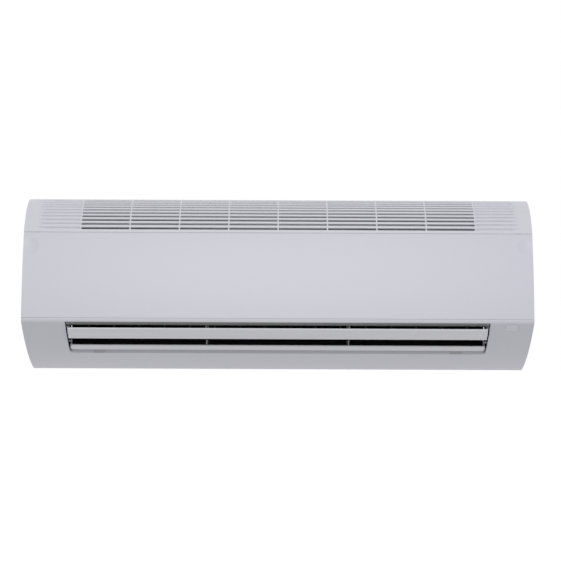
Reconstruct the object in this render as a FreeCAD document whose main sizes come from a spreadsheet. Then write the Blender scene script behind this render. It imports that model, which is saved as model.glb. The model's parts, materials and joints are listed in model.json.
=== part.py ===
"""Wall-mounted air conditioner indoor unit, built as an assembly of separate pieces.

The frame is +Z up, +X along the width and +Y into the wall. The origin lies on the wall
plane, at the centre of the wall plate's four screw holes. Units are millimetres and degrees.
"""

import FreeCAD, Part
import math
import os
import re

from FreeCAD import Vector

DOCUMENT = FreeCAD.newDocument("indoor_unit")
SHEET = DOCUMENT.addObject("Spreadsheet::Sheet", "Sizes")

# Driving dimensions: alias, value and what it measures.
SIZES = [
    ("width", 800, "casing, end to end"),
    ("height", 275, "casing, base to top"),
    ("depth", 188, "casing, wall to front"),
    ("wall", 2.5, "casing wall thickness"),
    ("panel_foot", 86, "front panel's lower edge above the base"),
    ("panel_rise", 135.5, "front panel's height"),
    ("panel_lean", 37, "how far the panel's top stands behind its foot"),
    ("panel_bulge", 4.5, "rise of the panel's curve above its chord"),
    ("panel_thick", 3, "front panel's wall"),
    ("panel_pocket", 7, "depth of the frame's recess behind the panel"),
    ("seam", 0.25, "line between the front panel and the frame"),
    ("panel_gap", 0.6, "front panel to the frame behind it"),
    ("bead_radius", 2.4, "rolled top edge of the panel, about the hinge"),
    ("brow_reach", 0.95, "frame's brow over the panel's rolled top edge"),
    ("strip_height", 5.4, "frame strip below the panel"),
    ("front_round", 8, "fillet of the casing's lower front edge"),
    ("underside_bulge", 10.5, "rise of the underside's curve above its chord"),
    ("grille_run", 89, "front-to-back run of the curved grille"),
    ("grille_bulge", 11.5, "rise of the grille's curve above its chord"),
    ("slot_rows", 11, "rows of grille slots"),
    ("slot_pitch", 8.8, "distance between slot rows along the curve"),
    ("slot_width", 4.3, "opening of one slot"),
    ("slot_start", 4.6, "first slot above the grille's front edge"),
    ("slot_bays", 8, "slots in one row"),
    ("bay_pitch", 77.8, "distance between slots in a row"),
    ("rib_width", 2.2, "rib between two slots"),
    ("groove_length", 57, "blind groove beyond the slots"),
    ("groove_taper", 11, "run-out at the end of a blind groove"),
    ("groove_depth", 1.9, "depth of a blind groove"),
    ("outlet_width", 664, "air outlet, end to end"),
    ("outlet_reach", 95, "outlet's rear edge behind the front"),
    ("outlet_corner", 7, "radius of the outlet's rear corners"),
    ("lip_drop", 0.6, "outlet's top below the casing's lower front edge"),
    ("flange_thick", 5, "upstand along the outlet's rear edge"),
    ("flange_height", 10, "height of that upstand"),
    ("cap_reach", 285, "screw cap, from the middle"),
    ("cap_width", 17.5, "screw cap"),
    ("cap_height", 5.2, "screw cap"),
    ("cap_thick", 1.2, "screw cap"),
    ("cap_lift", 0.9, "screw cap above the outlet's rear edge"),
    ("cap_seat", 0.4, "how far a screw cap is sunk in"),
    ("frame_screw_radius", 1.5, "casing screw"),
    ("frame_screw_length", 14, "casing screw"),
    ("screw_head_radius", 2.7, "casing screw's head"),
    ("screw_head", 1.8, "casing screw's head"),
    ("window_reach", 366, "receiver window, from the middle"),
    ("window_width", 20, "receiver window"),
    ("window_height", 11.6, "receiver window, seen from the front"),
    ("window_drop", 2.2, "receiver window's top below the lower front edge"),
    ("window_corner", 2.5, "receiver window's corners"),
    ("window_gap", 0.12, "receiver window to the frame"),
    ("window_depth", 30, "how far back the window's opening is cut"),
    ("hinge_reach", 379, "hinge ear, from the middle"),
    ("ear_width", 7, "hinge ear"),
    ("ear_eye", 1.7, "hinge ear's eye, radius"),
    ("ear_skin", 0.4, "panel's skin left in front of the hinge ear"),
    ("hinge_pin_radius", 0.9, "front panel's hinge pin"),
    ("hinge_pin_length", 22, "front panel's hinge pin"),
    ("dimple_radius", 61, "scoop for a finger in the panel's end"),
    ("dimple_depth", 1.5, "scoop for a finger in the panel's end"),
    ("dimple_reach", 389, "scoop's centre, from the middle"),
    ("dimple_drop", 24, "scoop's centre below the panel's top"),
    ("overshoot", 1, "how far a cut runs past the face it opens"),
    ("running_gap", 0.05, "radial clearance of a pin in its hole"),
    ("fit_gap", 0.3, "clearance between pieces that lie side by side"),
    ("end_wall_reach", 333, "inner face of the chassis end walls"),
    ("end_wall", 3, "chassis end wall thickness"),
    ("casing_gap", 1, "casing to the chassis end walls"),
    ("trough_front", 60, "pipe trough's front to the wall"),
    ("back_gap", 11, "chassis back plate to the wall"),
    ("back_thick", 3, "chassis back plate"),
    ("back_top", 128, "chassis back plate's top"),
    ("back_foot", -66, "chassis back plate's lower edge"),
    ("rib_thick", 3, "chassis ribs against the wall plate"),
    ("rib_inner", 100, "inner ribs, from the middle"),
    ("rib_outer", 280, "outer ribs, from the middle"),
    ("shelf_front", 49, "drip shelf's front to the wall"),
    ("shelf_rise", 21, "drip shelf's underside"),
    ("shelf_lip", 13, "drip shelf's lip"),
    ("access_gap", 4, "room round the wall screws' heads"),
    ("plate_width", 600, "wall plate"),
    ("plate_height", 170, "wall plate"),
    ("plate_thick", 1.2, "wall plate"),
    ("plate_hole_radius", 2.75, "wall plate's screw holes"),
    ("plate_window_width", 130, "opening that lightens the wall plate"),
    ("plate_window_height", 54, "opening that lightens the wall plate"),
    ("plate_window_reach", 110, "that opening's centre, from the middle"),
    ("screw_span_x", 450, "wall plate's screws, side to side"),
    ("screw_span_z", 100, "wall plate's screws, up and down"),
    ("hook_reach", 200, "wall hook, from the middle"),
    ("hook_width", 40, "wall hook"),
    ("hook_drop", 8, "wall hook's upstand"),
    ("fan_radius", 44, "cross-flow fan"),
    ("fan_back", 84, "fan axis to the wall"),
    ("fan_rise", -12, "fan axis above the origin"),
    ("fan_length", 648, "fan, end disc to end disc"),
    ("fan_blades", 32, "fan blades"),
    ("fan_discs", 8, "fan discs"),
    ("disc_thick", 3, "fan disc"),
    ("blade_chord", 13, "fan blade"),
    ("blade_thick", 1.2, "fan blade"),
    ("shaft_radius", 4, "fan shaft"),
    ("shaft_room", 2, "fan shaft to the end wall it passes"),
    ("scroll_gap", 7.9, "fan to the scroll's start"),
    ("scroll_growth", 13, "how far the scroll widens"),
    ("scroll_start", 39.5, "angle of the scroll's start, up from the back"),
    ("scroll_end", -58.7, "angle of the scroll's end, up from the back"),
    ("scroll_thick", 2.5, "scroll wall"),
    ("motor_radius", 40, "fan motor"),
    ("motor_length", 44, "fan motor"),
    ("clamp_foot", 14, "motor clamp's feet"),
    ("clamp_thick", 2, "motor clamp"),
    ("clamp_width", 16, "motor clamp"),
    ("motor_gap", 3, "motor to the chassis end wall"),
    ("motor_bore", 20, "shaft's reach into the motor"),
    ("blade_sweep", 14, "lean of a fan blade"),
    ("bush_radius", 7, "fan bearing bush"),
    ("bearing_radius", 11, "rubber bearing mount"),
    ("bearing_length", 12, "rubber bearing mount"),
    ("coil_length", 624, "fin packs"),
    ("coil_thick", 25, "fin packs"),
    ("tube_radius", 3.5, "refrigerant tube in the fins"),
    ("tube_rows", 12.7, "distance between the two rows of tubes"),
    ("tube_pitch", 18.5, "distance between tubes along a row"),
    ("end_plate", 1.2, "coil end plates"),
    ("coil_bend", 5.5, "bend radius of the coil tube's middle line"),
    ("coil_tail", 8, "coil tube beyond its end plate"),
    ("low_pack_back", 154, "lower front fin pack's foot to the wall"),
    ("low_pack_rise", -30, "lower front fin pack's foot"),
    ("low_pack_length", 75, "lower front fin pack"),
    ("low_pack_lean", 16.3, "lower front fin pack, from upright"),
    ("low_pack_tubes", 4, "lower front fin pack's tubes in a row"),
    ("high_pack_back", 124, "upper front fin pack's foot to the wall"),
    ("high_pack_rise", 50, "upper front fin pack's foot"),
    ("high_pack_length", 60.5, "upper front fin pack"),
    ("high_pack_lean", 34.2, "upper front fin pack, from upright"),
    ("high_pack_tubes", 3, "upper front fin pack's tubes in a row"),
    ("rear_pack_back", 69, "rear fin pack's head to the wall"),
    ("rear_pack_rise", 96, "rear fin pack's head"),
    ("rear_pack_length", 64.4, "rear fin pack"),
    ("rear_pack_lean", 143.8, "rear fin pack, from upright"),
    ("rear_pack_tubes", 3, "rear fin pack's tubes in a row"),
    ("pan_thick", 2.5, "drain pan wall"),
    ("pan_floor", -52, "drain pan's underside"),
    ("pan_depth", 12.5, "drain pan"),
    ("pan_front", 174.5, "drain pan's front to the wall"),
    ("pan_back", 131, "drain pan's back to the wall"),
    ("carrier_thick", 3, "plate that carries the upright vanes"),
    ("carrier_front", 177.5, "carrier's front to the wall"),
    ("carrier_back", 126, "carrier's back to the wall"),
    ("lip_fall", 4.6, "fall of the carrier's sloping front lip"),
    ("lip_depth", 5, "carrier's front lip behind its plate's front"),
    ("lip_thick", 1.2, "front edge of the carrier's lip"),
    ("louvre_length", 658, "horizontal louvres"),
    ("louvre_thick", 2.6, "horizontal louvres"),
    ("louvre_pin_radius", 1.5, "louvre pivots"),
    ("upper_chord", 28.7, "upper louvre"),
    ("upper_slope", 35, "upper louvre's fall to the back"),
    ("upper_back", 165.3, "upper louvre's middle to the wall"),
    ("upper_rise", -75.5, "upper louvre's middle above the origin"),
    ("lower_chord", 21, "lower louvre"),
    ("lower_slope", 19.5, "lower louvre's fall to the back"),
    ("lower_back", 112, "lower louvre's middle to the wall"),
    ("lower_rise", -98.8, "lower louvre's middle above the origin"),
    ("upper_inset", 12.3, "upper louvre's middle to its pivot"),
    ("lower_inset", 10, "lower louvre's middle to its pivot"),
    ("ear_radius", 3, "ears round the louvre pivots"),
    ("ear_thick", 2, "louvre ears"),
    ("louvre_bulge", 1.5, "how far the crease of a louvre's face stands out"),
    ("louvre_crease", 0.3, "part of a louvre's chord behind that crease"),
    ("louvre_bevel", 3, "bevel along the ends of a louvre's face"),
    ("crank", 8, "louvre crank arm"),
    ("crank_turn", 60, "crank arm, from the line of the two pivots"),
    ("crank_pin_radius", 1, "louvre crank pin"),
    ("link_gap", 0.8, "louvre's end to its link"),
    ("link_thick", 2.4, "louvre link"),
    ("link_width", 4, "louvre link"),
    ("bracket_reach", 110, "louvre middle brackets, from the middle"),
    ("bracket_thick", 3, "louvre middle brackets"),
    ("bracket_width", 5, "arm of the lower louvre's bracket"),
    ("elbow_back", 10, "bend of that arm behind the lower pivot"),
    ("elbow_rise", 8.2, "bend of that arm above the lower pivot"),
    ("bracket_seat", 19, "where that arm meets the duct, along the duct's floor"),
    ("vane_pitch", 40, "upright vanes"),
    ("vane_count", 8, "upright vanes in each group"),
    ("vane_thick", 1.6, "upright vanes"),
    ("vane_front", 134.5, "upright vane's front edge to the wall"),
    ("vane_back", 102, "upright vane's back edge to the wall"),
    ("vane_height", 20, "upright vanes"),
    ("vane_pivot", 130, "upright vane's pivot to the wall"),
    ("vane_pin_radius", 2, "upright vane's pivot"),
    ("vane_collar", 3, "collar under the upright vane's pivot, radius"),
    ("vane_gap", 0.6, "slack above and below the tie bar"),
    ("vane_crank", 21, "upright vane's pivot to its tie bar"),
    ("tie_pin_radius", 1.4, "upright vane's tie pin"),
    ("tie_width", 6, "tie bar"),
    ("tie_thick", 2, "tie bar"),
    ("filter_thick", 2.4, "air filter frame"),
    ("filter_foot", 18, "filter's lower edge along the panel's curve"),
    ("filter_rise", 88, "filter's height along the panel's curve"),
    ("filter_border", 6, "air filter frame's border"),
    ("filter_rib", 2.5, "air filter frame's ribs"),
    ("filter_columns", 4, "cells in a row of the air filter"),
    ("filter_mesh", 0.5, "air filter net"),
    ("filter_middle", 3, "filter's inner edge, from the middle"),
    ("filter_outer", 328.5, "filter's outer edge, from the middle"),
    ("filter_lift", 20, "how far the filter lifts along its curve"),
    ("guide_lip", 1.4, "lip that keeps the filter in its guide"),
    ("guide_grip", 3, "how far the guide's lip reaches behind the filter"),
    ("guide_wall", 2, "side wall of the filter's guide"),
    ("box_wall", 2, "control box wall"),
    ("box_width", 50, "control box, along X"),
    ("box_depth", 88, "control box, along Y"),
    ("box_height", 66, "control box"),
    ("box_rise", 36, "control box's floor above the origin"),
    ("box_back", 30, "control box to the wall"),
    ("post_inset", 7, "board posts, from the control box's sides"),
    ("post_radius", 2.5, "board posts"),
    ("post_height", 8, "board posts"),
    ("board_thick", 1.6, "circuit boards"),
    ("part_height", 16, "parts on the circuit board"),
    ("button_rise", 24, "manual button along the panel's curve"),
    ("button_reach", 362, "manual button, from the middle"),
    ("button_stand", 2, "manual button above the recess"),
    ("display_gap", 9, "display board behind the recess"),
    ("display_width", 40, "display board"),
    ("display_height", 26, "display board"),
    ("display_post", 16, "display board's posts, from its middle"),
    ("switch_height", 4, "switch under the manual button"),
    ("button_radius", 3.5, "manual button"),
    ("button_travel", 1.5, "manual button"),
    ("stepper_radius", 14, "louvre stepper motor"),
    ("stepper_offset", 8.2, "louvre motor's middle to its shaft"),
    ("stepper_length", 19, "louvre stepper motor"),
    ("liquid_radius", 3.175, "liquid pipe"),
    ("suction_radius", 4.76, "suction pipe"),
    ("pipe_bend", 14, "bend radius of the pipes' middle line"),
    ("liquid_back", 50, "liquid pipe's drop to the wall"),
    ("liquid_drop_reach", 362, "liquid pipe's drop, from the middle"),
    ("liquid_level", -105, "liquid pipe's run in the trough"),
    ("liquid_end", 180, "liquid pipe's end, from the middle"),
    ("suction_drop_reach", 376, "suction pipe's drop, from the middle"),
    ("suction_level", -84, "suction pipe's run in the trough"),
    ("suction_end", 130, "suction pipe's end, from the middle"),
    ("liquid_union_radius", 5.56, "liquid pipe's union, outside"),
    ("suction_union_radius", 7.94, "suction pipe's union, outside"),
    ("union_length", 16, "free length of a union"),
    ("spigot_radius", 8, "drain spigot, outside"),
    ("spigot_bore", 6.2, "drain spigot's bore radius"),
    ("spigot_back", 150, "drain spigot's axis to the wall"),
    ("spigot_neck", 7.4, "drain spigot in the chassis end wall"),
    ("spigot_collar", 2, "drain spigot's stop collar"),
    ("spigot_length", 26, "drain spigot's free length"),
]

for row, (alias, number, meaning) in enumerate(SIZES, start=1):
    SHEET.set(f"A{row}", meaning)
    SHEET.set(f"B{row}", str(number))
    SHEET.setAlias(f"B{row}", alias)
DOCUMENT.recompute()


class Values:
    """Reads a size from the sheet by its alias."""

    def __getattr__(self, alias):
        return float(SHEET.get(alias))


S = Values()
X_AXIS = Vector(1, 0, 0)
Y_AXIS = Vector(0, 1, 0)
Z_AXIS = Vector(0, 0, 1)
NODES = []
TINY = 1e-6


def linked(text):
    """Turn a sum of aliases into an expression that reads the sheet."""
    return re.sub(r"[a-z][a-z_]*", lambda word: "Sizes." + word.group(0), text)


def bind(item, **terms):
    """Bind an object's properties to sums of sheet aliases."""
    for name, text in terms.items():
        item.setExpression(name.replace("__", "."), linked(text))
    return item


def block(name, x, y, z, length, depth, height):
    """Box from its low corner and its three sizes, all sums of aliases."""
    item = DOCUMENT.addObject("Part::Box", name)
    bind(item, Length=length, Width=depth, Height=height)
    bind(item, Placement__Base__x=x, Placement__Base__y=y, Placement__Base__z=z)
    return item


def rod(name, axis, x, y, z, radius, length):
    """Cylinder along an axis from the centre of its first face."""
    item = DOCUMENT.addObject("Part::Cylinder", name)
    item.Placement.Rotation = FreeCAD.Rotation(Z_AXIS, axis)
    bind(item, Radius=radius, Height=length)
    bind(item, Placement__Base__x=x, Placement__Base__y=y, Placement__Base__z=z)
    return item


def fused(name, items):
    """Union of several objects."""
    item = DOCUMENT.addObject("Part::MultiFuse", name)
    item.Shapes = items
    return item


def grouped(name, items):
    """Several separate solids of one piece, kept side by side."""
    item = DOCUMENT.addObject("Part::Compound", name)
    item.Links = items
    return item


def less(name, base, tools):
    """One object with others cut out of it."""
    item = DOCUMENT.addObject("Part::Cut", name)
    item.Base = base
    item.Tool = tools[0] if len(tools) == 1 else fused(name + "_tools", tools)
    return item


def shaped(name, shape):
    """Object with a shape made by Part's own functions."""
    item = DOCUMENT.addObject("Part::Feature", name)
    item.Shape = shape
    return item


def mirrored(name, item):
    """Copy of an object on the other side of the middle plane."""
    twin = DOCUMENT.addObject("Part::Mirroring", name)
    twin.Source = item
    twin.Normal = X_AXIS
    return twin


def node(item, label):
    """Name an object as a finished piece."""
    item.Label = label
    NODES.append(item)
    return item


class Curve:
    """Round stretch of the casing's section, from start to end, standing out by bulge."""

    def __init__(self, start, end, bulge):
        chord = end - start
        outward = Vector(0, -chord.z, chord.y).normalize()
        self.radius = (chord.Length ** 2 / 4 + bulge ** 2) / (2 * bulge)
        self.centre = (start + end) * 0.5 - outward * (self.radius - bulge)
        spoke = start - self.centre
        self.first = math.atan2(spoke.z, spoke.y)
        self.length = 2 * self.radius * math.asin(chord.Length / 2 / self.radius)

    def outward(self, along):
        """Unit normal of the curve, a way along it from its start."""
        angle = self.first - along / self.radius
        return Vector(0, math.cos(angle), math.sin(angle))

    def at(self, along, inset=0.0):
        """Point a way along the curve and a depth inside it."""
        return self.centre + self.outward(along) * (self.radius - inset)

    def arc(self, begin, end, inset=0.0):
        """Arc edge between two places along the curve."""
        middle = (begin + end) / 2
        return Part.Arc(self.at(begin, inset), self.at(middle, inset), self.at(end, inset)).toShape()

    def between(self, start, end):
        """Arc edge between two points that lie on one depth of the curve."""
        reach = (start - self.centre).Length
        way = ((start + end) * 0.5 - self.centre).normalize()
        return Part.Arc(start, self.centre + way * reach, end).toShape()

    def meet(self, origin, way, inset):
        """Point where a line last crosses the curve's circle at a depth."""
        step = (origin - self.centre).dot(way)
        apart = (origin - self.centre).Length ** 2 - (self.radius - inset) ** 2
        return origin + way * (math.sqrt(step ** 2 - apart) - step)

    def band(self, begin, end, outer, inner):
        """Face between two places along the curve and two depths inside it."""
        sides = [
            self.arc(begin, end, outer),
            Part.makeLine(self.at(end, outer), self.at(end, inner)),
            self.arc(end, begin, inner),
            Part.makeLine(self.at(begin, inner), self.at(begin, outer)),
        ]
        return Part.Face(Part.Wire(sides))


def point(y, z):
    """Point of the section."""
    return Vector(0, y, z)


def drawn(face, low, high):
    """Solid of a section face, drawn from one X to another."""
    return face.translated(X_AXIS * low).extrude(X_AXIS * (high - low))


def both(shape):
    """A shape and its twin on the other side of the middle plane."""
    return [shape, shape.mirror(Vector(), X_AXIS)]


def polygon(corners):
    """Face with straight sides."""
    return Part.Face(Part.makePolygon(corners + corners[:1]))


def box(x, y, z):
    """Plain box between two limits on each axis."""
    return Part.makeBox(x[1] - x[0], y[1] - y[0], z[1] - z[0], Vector(x[0], y[0], z[0]))


def pin(start, way, radius):
    """Plain cylinder from a point along a vector."""
    return Part.makeCylinder(radius, way.Length, start, way)


def strut(start, end, width, low, high):
    """Flat bar between two points of the section, drawn from one X to another."""
    way = (end - start).normalize()
    across = point(-way.z, way.y) * (width / 2)
    return drawn(polygon([start - across, end - across, end + across, start + across]), low, high)


def around(angle, reach):
    """Point of the section at an angle up from the back and a distance."""
    turn = math.radians(angle)
    return point(math.cos(turn), math.sin(turn)) * reach


def route(corners, bend):
    """Path through the corners, straight runs joined by tangent arcs."""
    edges = []
    last = corners[0]
    for before, corner, after in zip(corners, corners[1:], corners[2:]):
        inward = (before - corner).normalize()
        onward = (after - corner).normalize()
        turn = math.pi - inward.getAngle(onward)
        reach = bend * math.tan(turn / 2)
        half = (inward + onward).normalize()
        middle = corner + half * (bend / math.cos(turn / 2) - bend)
        entry = corner + inward * reach
        leave = corner + onward * reach
        edges.append(Part.makeLine(last, entry))
        edges.append(Part.Arc(entry, middle, leave).toShape())
        last = leave
    edges.append(Part.makeLine(last, corners[-1]))
    return Part.Wire(edges)


def tube(corners, radius, bend):
    """Round bar along a route."""
    path = route(corners, bend)
    ring = Part.Wire(Part.makeCircle(radius, corners[0], corners[1] - corners[0]))
    return path.makePipeShell([ring], True, False)


# Section of the casing, in the plane across the width.
HALF = S.width / 2
BASE = -S.height / 2
TOP = S.height / 2
FRONT = -S.depth
PANEL_FOOT = point(FRONT, BASE + S.panel_foot)
PANEL_TOP = PANEL_FOOT + point(S.panel_lean, S.panel_rise)
LOWER_EDGE = PANEL_FOOT - point(0, S.strip_height)
GRILLE_TOP = point(PANEL_TOP.y + S.grille_run, TOP)
PANEL = Curve(PANEL_FOOT, PANEL_TOP, S.panel_bulge)
GRILLE = Curve(PANEL_TOP, GRILLE_TOP, S.grille_bulge)
UNDER = Curve(point(0, BASE), LOWER_EDGE, S.underside_bulge)
HINGE = PANEL.at(PANEL.length - S.seam - S.bead_radius, S.bead_radius)
FAN = point(-S.fan_back, S.fan_rise)
FLOOR = S.panel_pocket + S.wall
OUTLET_REAR = FRONT + S.outlet_reach
OUTLET_TOP = LOWER_EDGE.z - S.lip_drop
RIM = UNDER.meet(point(OUTLET_REAR, 0), point(0, -1), 0).z


def section(rear, pocket):
    """Outline of the casing, closed by a line at rear, with the panel's recess if pocket is set."""
    edges = [
        UNDER.arc(0, UNDER.length),
        Part.makeLine(LOWER_EDGE, PANEL_FOOT),
    ]
    if pocket:
        low = PANEL.at(0, pocket)
        high = PANEL.at(PANEL.length, pocket)
        edges.append(Part.makeLine(PANEL_FOOT, low))
        edges.append(PANEL.arc(0, PANEL.length, pocket))
        edges.append(Part.makeLine(high, PANEL_TOP))
    else:
        edges.append(PANEL.arc(0, PANEL.length))
    edges.append(GRILLE.arc(0, GRILLE.length))
    corners = [GRILLE_TOP, point(rear, TOP), point(rear, BASE), point(0, BASE)]
    for start, end in zip(corners, corners[1:]):
        if start.distanceToPoint(end) > TINY:
            edges.append(Part.makeLine(start, end))
    return Part.Face(Part.Wire(edges))


def casing_solid():
    """Casing without its recesses, with the lower front edge rounded."""
    solid = drawn(section(0, S.panel_pocket), -HALF, HALF)
    edges = []
    for edge in solid.Edges:
        middle = edge.CenterOfMass
        along_x = abs(edge.Vertexes[0].X - edge.Vertexes[-1].X) > S.width / 2
        if along_x and middle.distanceToPoint(LOWER_EDGE) < 1:
            edges.append(edge)
    return solid.makeFillet(S.front_round, edges)


def crossing(first, first_inset, second, second_inset):
    """Front crossing of two curves' circles, each at its own depth."""
    one = first.radius - first_inset
    two = second.radius - second_inset
    line = second.centre - first.centre
    way = (second.centre - first.centre).normalize()
    along = (line.Length ** 2 + one ** 2 - two ** 2) / (2 * line.Length)
    side = math.sqrt(one ** 2 - along ** 2)
    across = Vector(0, -way.z, way.y)
    places = [first.centre + way * along + across * side * sign for sign in (-1, 1)]
    return min(places, key=lambda place: place.y)


def casing_cavity(inset, low, high, strip=True):
    """Space a given depth inside the casing's outline, open to the back."""
    rear = inset
    floor = S.panel_pocket + inset
    step_low = PANEL.at(-inset, floor)
    step_high = PANEL.at(PANEL.length + inset, floor)
    front = [crossing(UNDER, inset, PANEL, floor)]
    if strip:
        front = [
            UNDER.meet(point(FRONT + inset, 0), point(0, -1), inset),
            point(FRONT + inset, step_low.z),
            step_low,
        ]
    top_front = GRILLE.meet(step_high, PANEL.outward(PANEL.length + inset), inset)
    top_rear = GRILLE.meet(point(rear, TOP - inset), point(-1, 0), inset)
    foot = UNDER.meet(point(rear, 0), point(0, -1), inset)
    edges = [UNDER.between(foot, front[0])]
    edges.extend(Part.makeLine(start, end) for start, end in zip(front, front[1:]))
    edges.append(PANEL.between(front[-1], step_high))
    edges.append(Part.makeLine(step_high, top_front))
    edges.append(GRILLE.between(top_front, top_rear))
    edges.append(Part.makeLine(top_rear, point(rear, TOP - inset)))
    edges.append(Part.makeLine(point(rear, TOP - inset), foot))
    return drawn(Part.Face(Part.Wire(edges)), low, high)


CASING = casing_solid()
PAST = S.overshoot
SLOT_SPAN = S.slot_bays * S.bay_pitch / 2


def grille_cuts():
    """Slots through the top grille and the blind grooves that carry their lines on."""
    cuts = []
    for line in range(int(S.slot_rows)):
        begin = S.slot_start + S.slot_pitch * line
        end = begin + S.slot_width
        slot = GRILLE.band(begin, end, -PAST, S.wall + PAST)
        for bay in range(int(S.slot_bays)):
            low = -SLOT_SPAN + bay * S.bay_pitch + S.rib_width / 2
            cuts.append(drawn(slot, low, low + S.bay_pitch - S.rib_width))
        groove = GRILLE.band(begin, end, -PAST, S.groove_depth)
        tip = GRILLE.band(begin, end, -PAST, -S.running_gap)
        near = SLOT_SPAN + S.rib_width / 2
        far = near + S.groove_length
        cuts.extend(both(drawn(groove, near, far)))
        start = groove.translated(X_AXIS * far).OuterWire
        stop = tip.translated(X_AXIS * (far + S.groove_taper)).OuterWire
        cuts.extend(both(Part.makeLoft([start, stop], True, True)))
    return cuts


def filter_guides():
    """Ledge and lipped rails behind the frame that hold both air filters."""
    foot = S.filter_foot
    head = foot + S.filter_rise
    back = FLOOR + 2 * S.fit_gap + S.filter_thick
    root = FLOOR - S.wall / 2
    deep = back + S.guide_lip
    reach = S.filter_outer + S.fit_gap
    ledge = PANEL.band(foot - S.fit_gap - S.guide_wall, foot - S.fit_gap, root, deep)
    rail = PANEL.band(foot - S.fit_gap, head, root, deep)
    lip = PANEL.band(foot - S.fit_gap, head, back, deep)
    middle = S.filter_middle - S.fit_gap
    parts = [
        drawn(ledge, -reach - S.guide_wall, reach + S.guide_wall),
        drawn(rail, -middle, middle),
        drawn(lip, -middle - S.guide_grip, middle + S.guide_grip),
    ]
    parts.extend(both(drawn(rail, reach, reach + S.guide_wall)))
    parts.extend(both(drawn(lip, reach - S.guide_grip, reach)))
    return parts


def hinge_ear():
    """Ear of the frame that holds one hinge pin of the front panel."""
    low = S.hinge_reach - S.ear_width / 2
    along = PANEL.length - S.seam - S.bead_radius
    web = PANEL.band(along - S.ear_eye, along + S.ear_eye, S.bead_radius, FLOOR - S.wall / 2)
    eye = pin(HINGE + X_AXIS * low, X_AXIS * S.ear_width, S.ear_eye)
    hole = pin(HINGE + X_AXIS * (low - PAST), X_AXIS * (S.ear_width + 2 * PAST), PIN_HOLE)
    return drawn(web, low, low + S.ear_width).fuse(eye).cut(hole)


def seam_brow():
    """Thin brow of the frame that reaches over the panel's rolled top edge."""
    brow = PANEL.band(PANEL.length - S.brow_reach, PANEL.length, 0, S.bead_radius)
    start = HINGE - X_AXIS * (HALF + PAST)
    room = pin(start, X_AXIS * 2 * (HALF + PAST), S.bead_radius + S.seam)
    return drawn(brow, -HALF, HALF).cut(room)


def window_prism(grow):
    """Upright-sided block through which the receiver looks out, grown on every side."""
    half = S.window_width / 2 + grow
    high = LOWER_EDGE.z - S.window_drop + grow
    low = high - S.window_height - 2 * grow
    sides = (S.window_reach - half, S.window_reach + half)
    prism = box(sides, (FRONT - PAST, FRONT + S.window_depth), (low, high))
    corners = [edge for edge in prism.Edges if abs(edge.tangentAt(edge.FirstParameter).y) > 1 - TINY]
    return prism.makeFillet(S.window_corner + grow, corners)


def outlet_cut():
    """Air outlet through the underside, with round rear corners."""
    half = S.outlet_width / 2
    tool = box((-half, half), (FRONT - PAST, OUTLET_REAR), (BASE - PAST, OUTLET_TOP))
    rear = []
    for edge in tool.Edges:
        centre = edge.CenterOfMass
        if abs(abs(centre.x) - half) < TINY and abs(centre.y - OUTLET_REAR) < TINY:
            rear.append(edge)
    return tool.makeFillet(S.outlet_corner, rear)


def rear_flange():
    """Upstand along the outlet's rear edge, where the frame is screwed down."""
    half = S.outlet_width / 2
    bar = box(
        (-half, half),
        (OUTLET_REAR, OUTLET_REAR + S.flange_thick),
        (BASE, RIM + S.flange_height),
    )
    return bar.common(CASING)


CAP_LOW = RIM + S.cap_lift


def cap_block(grow, front, thick):
    """Block in the place of a screw cap, grown on every side."""
    half = S.cap_width / 2 + grow
    low = CAP_LOW - grow
    high = CAP_LOW + S.cap_height + grow
    return box((S.cap_reach - half, S.cap_reach + half), (front, front + thick), (low, high))


SCREW_Z = CAP_LOW + S.cap_height / 2
CAP_BACK = OUTLET_REAR + S.cap_seat + S.cap_thick
PIN_HOLE = S.hinge_pin_radius + S.running_gap
SCREW_HOLE = S.frame_screw_radius + S.fit_gap / 2


def front_frame():
    """Casing with its grille, panel recess, filter guides and air outlet."""
    cavity = casing_cavity(S.wall, -HALF + S.wall, HALF - S.wall)
    shell = CASING.cut(cavity)
    ears = both(hinge_ear())
    shell = shell.fuse(ears + filter_guides() + [rear_flange(), seam_brow()])
    head = S.filter_foot + S.filter_rise - S.filter_border
    hole = PANEL.band(S.filter_foot + S.filter_border, head, S.panel_pocket - PAST, FLOOR + PAST)
    low = S.filter_middle + S.filter_border
    cuts = both(drawn(hole, low, S.filter_outer - S.filter_border))
    cuts.extend(grille_cuts())
    cuts.append(outlet_cut())
    cuts.append(window_prism(0))
    face = PANEL.outward(S.button_rise)
    seat = PANEL.at(S.button_rise, FLOOR) + X_AXIS * S.button_reach
    cuts.append(pin(seat - face * PAST, face * (S.wall + 2 * PAST), S.button_radius + S.running_gap))
    cuts.extend(both(cap_block(S.fit_gap, OUTLET_REAR - PAST, PAST + S.cap_seat + S.cap_thick)))
    screw = pin(
        Vector(S.cap_reach, OUTLET_REAR - PAST, SCREW_Z),
        Y_AXIS * (S.flange_thick + 2 * PAST),
        SCREW_HOLE,
    )
    head_seat = pin(
        Vector(S.cap_reach, CAP_BACK - PAST, SCREW_Z),
        Y_AXIS * (PAST + S.screw_head),
        S.screw_head_radius + S.fit_gap,
    )
    cuts.extend(both(screw) + both(head_seat))
    return shell.cut(cuts)


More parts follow.
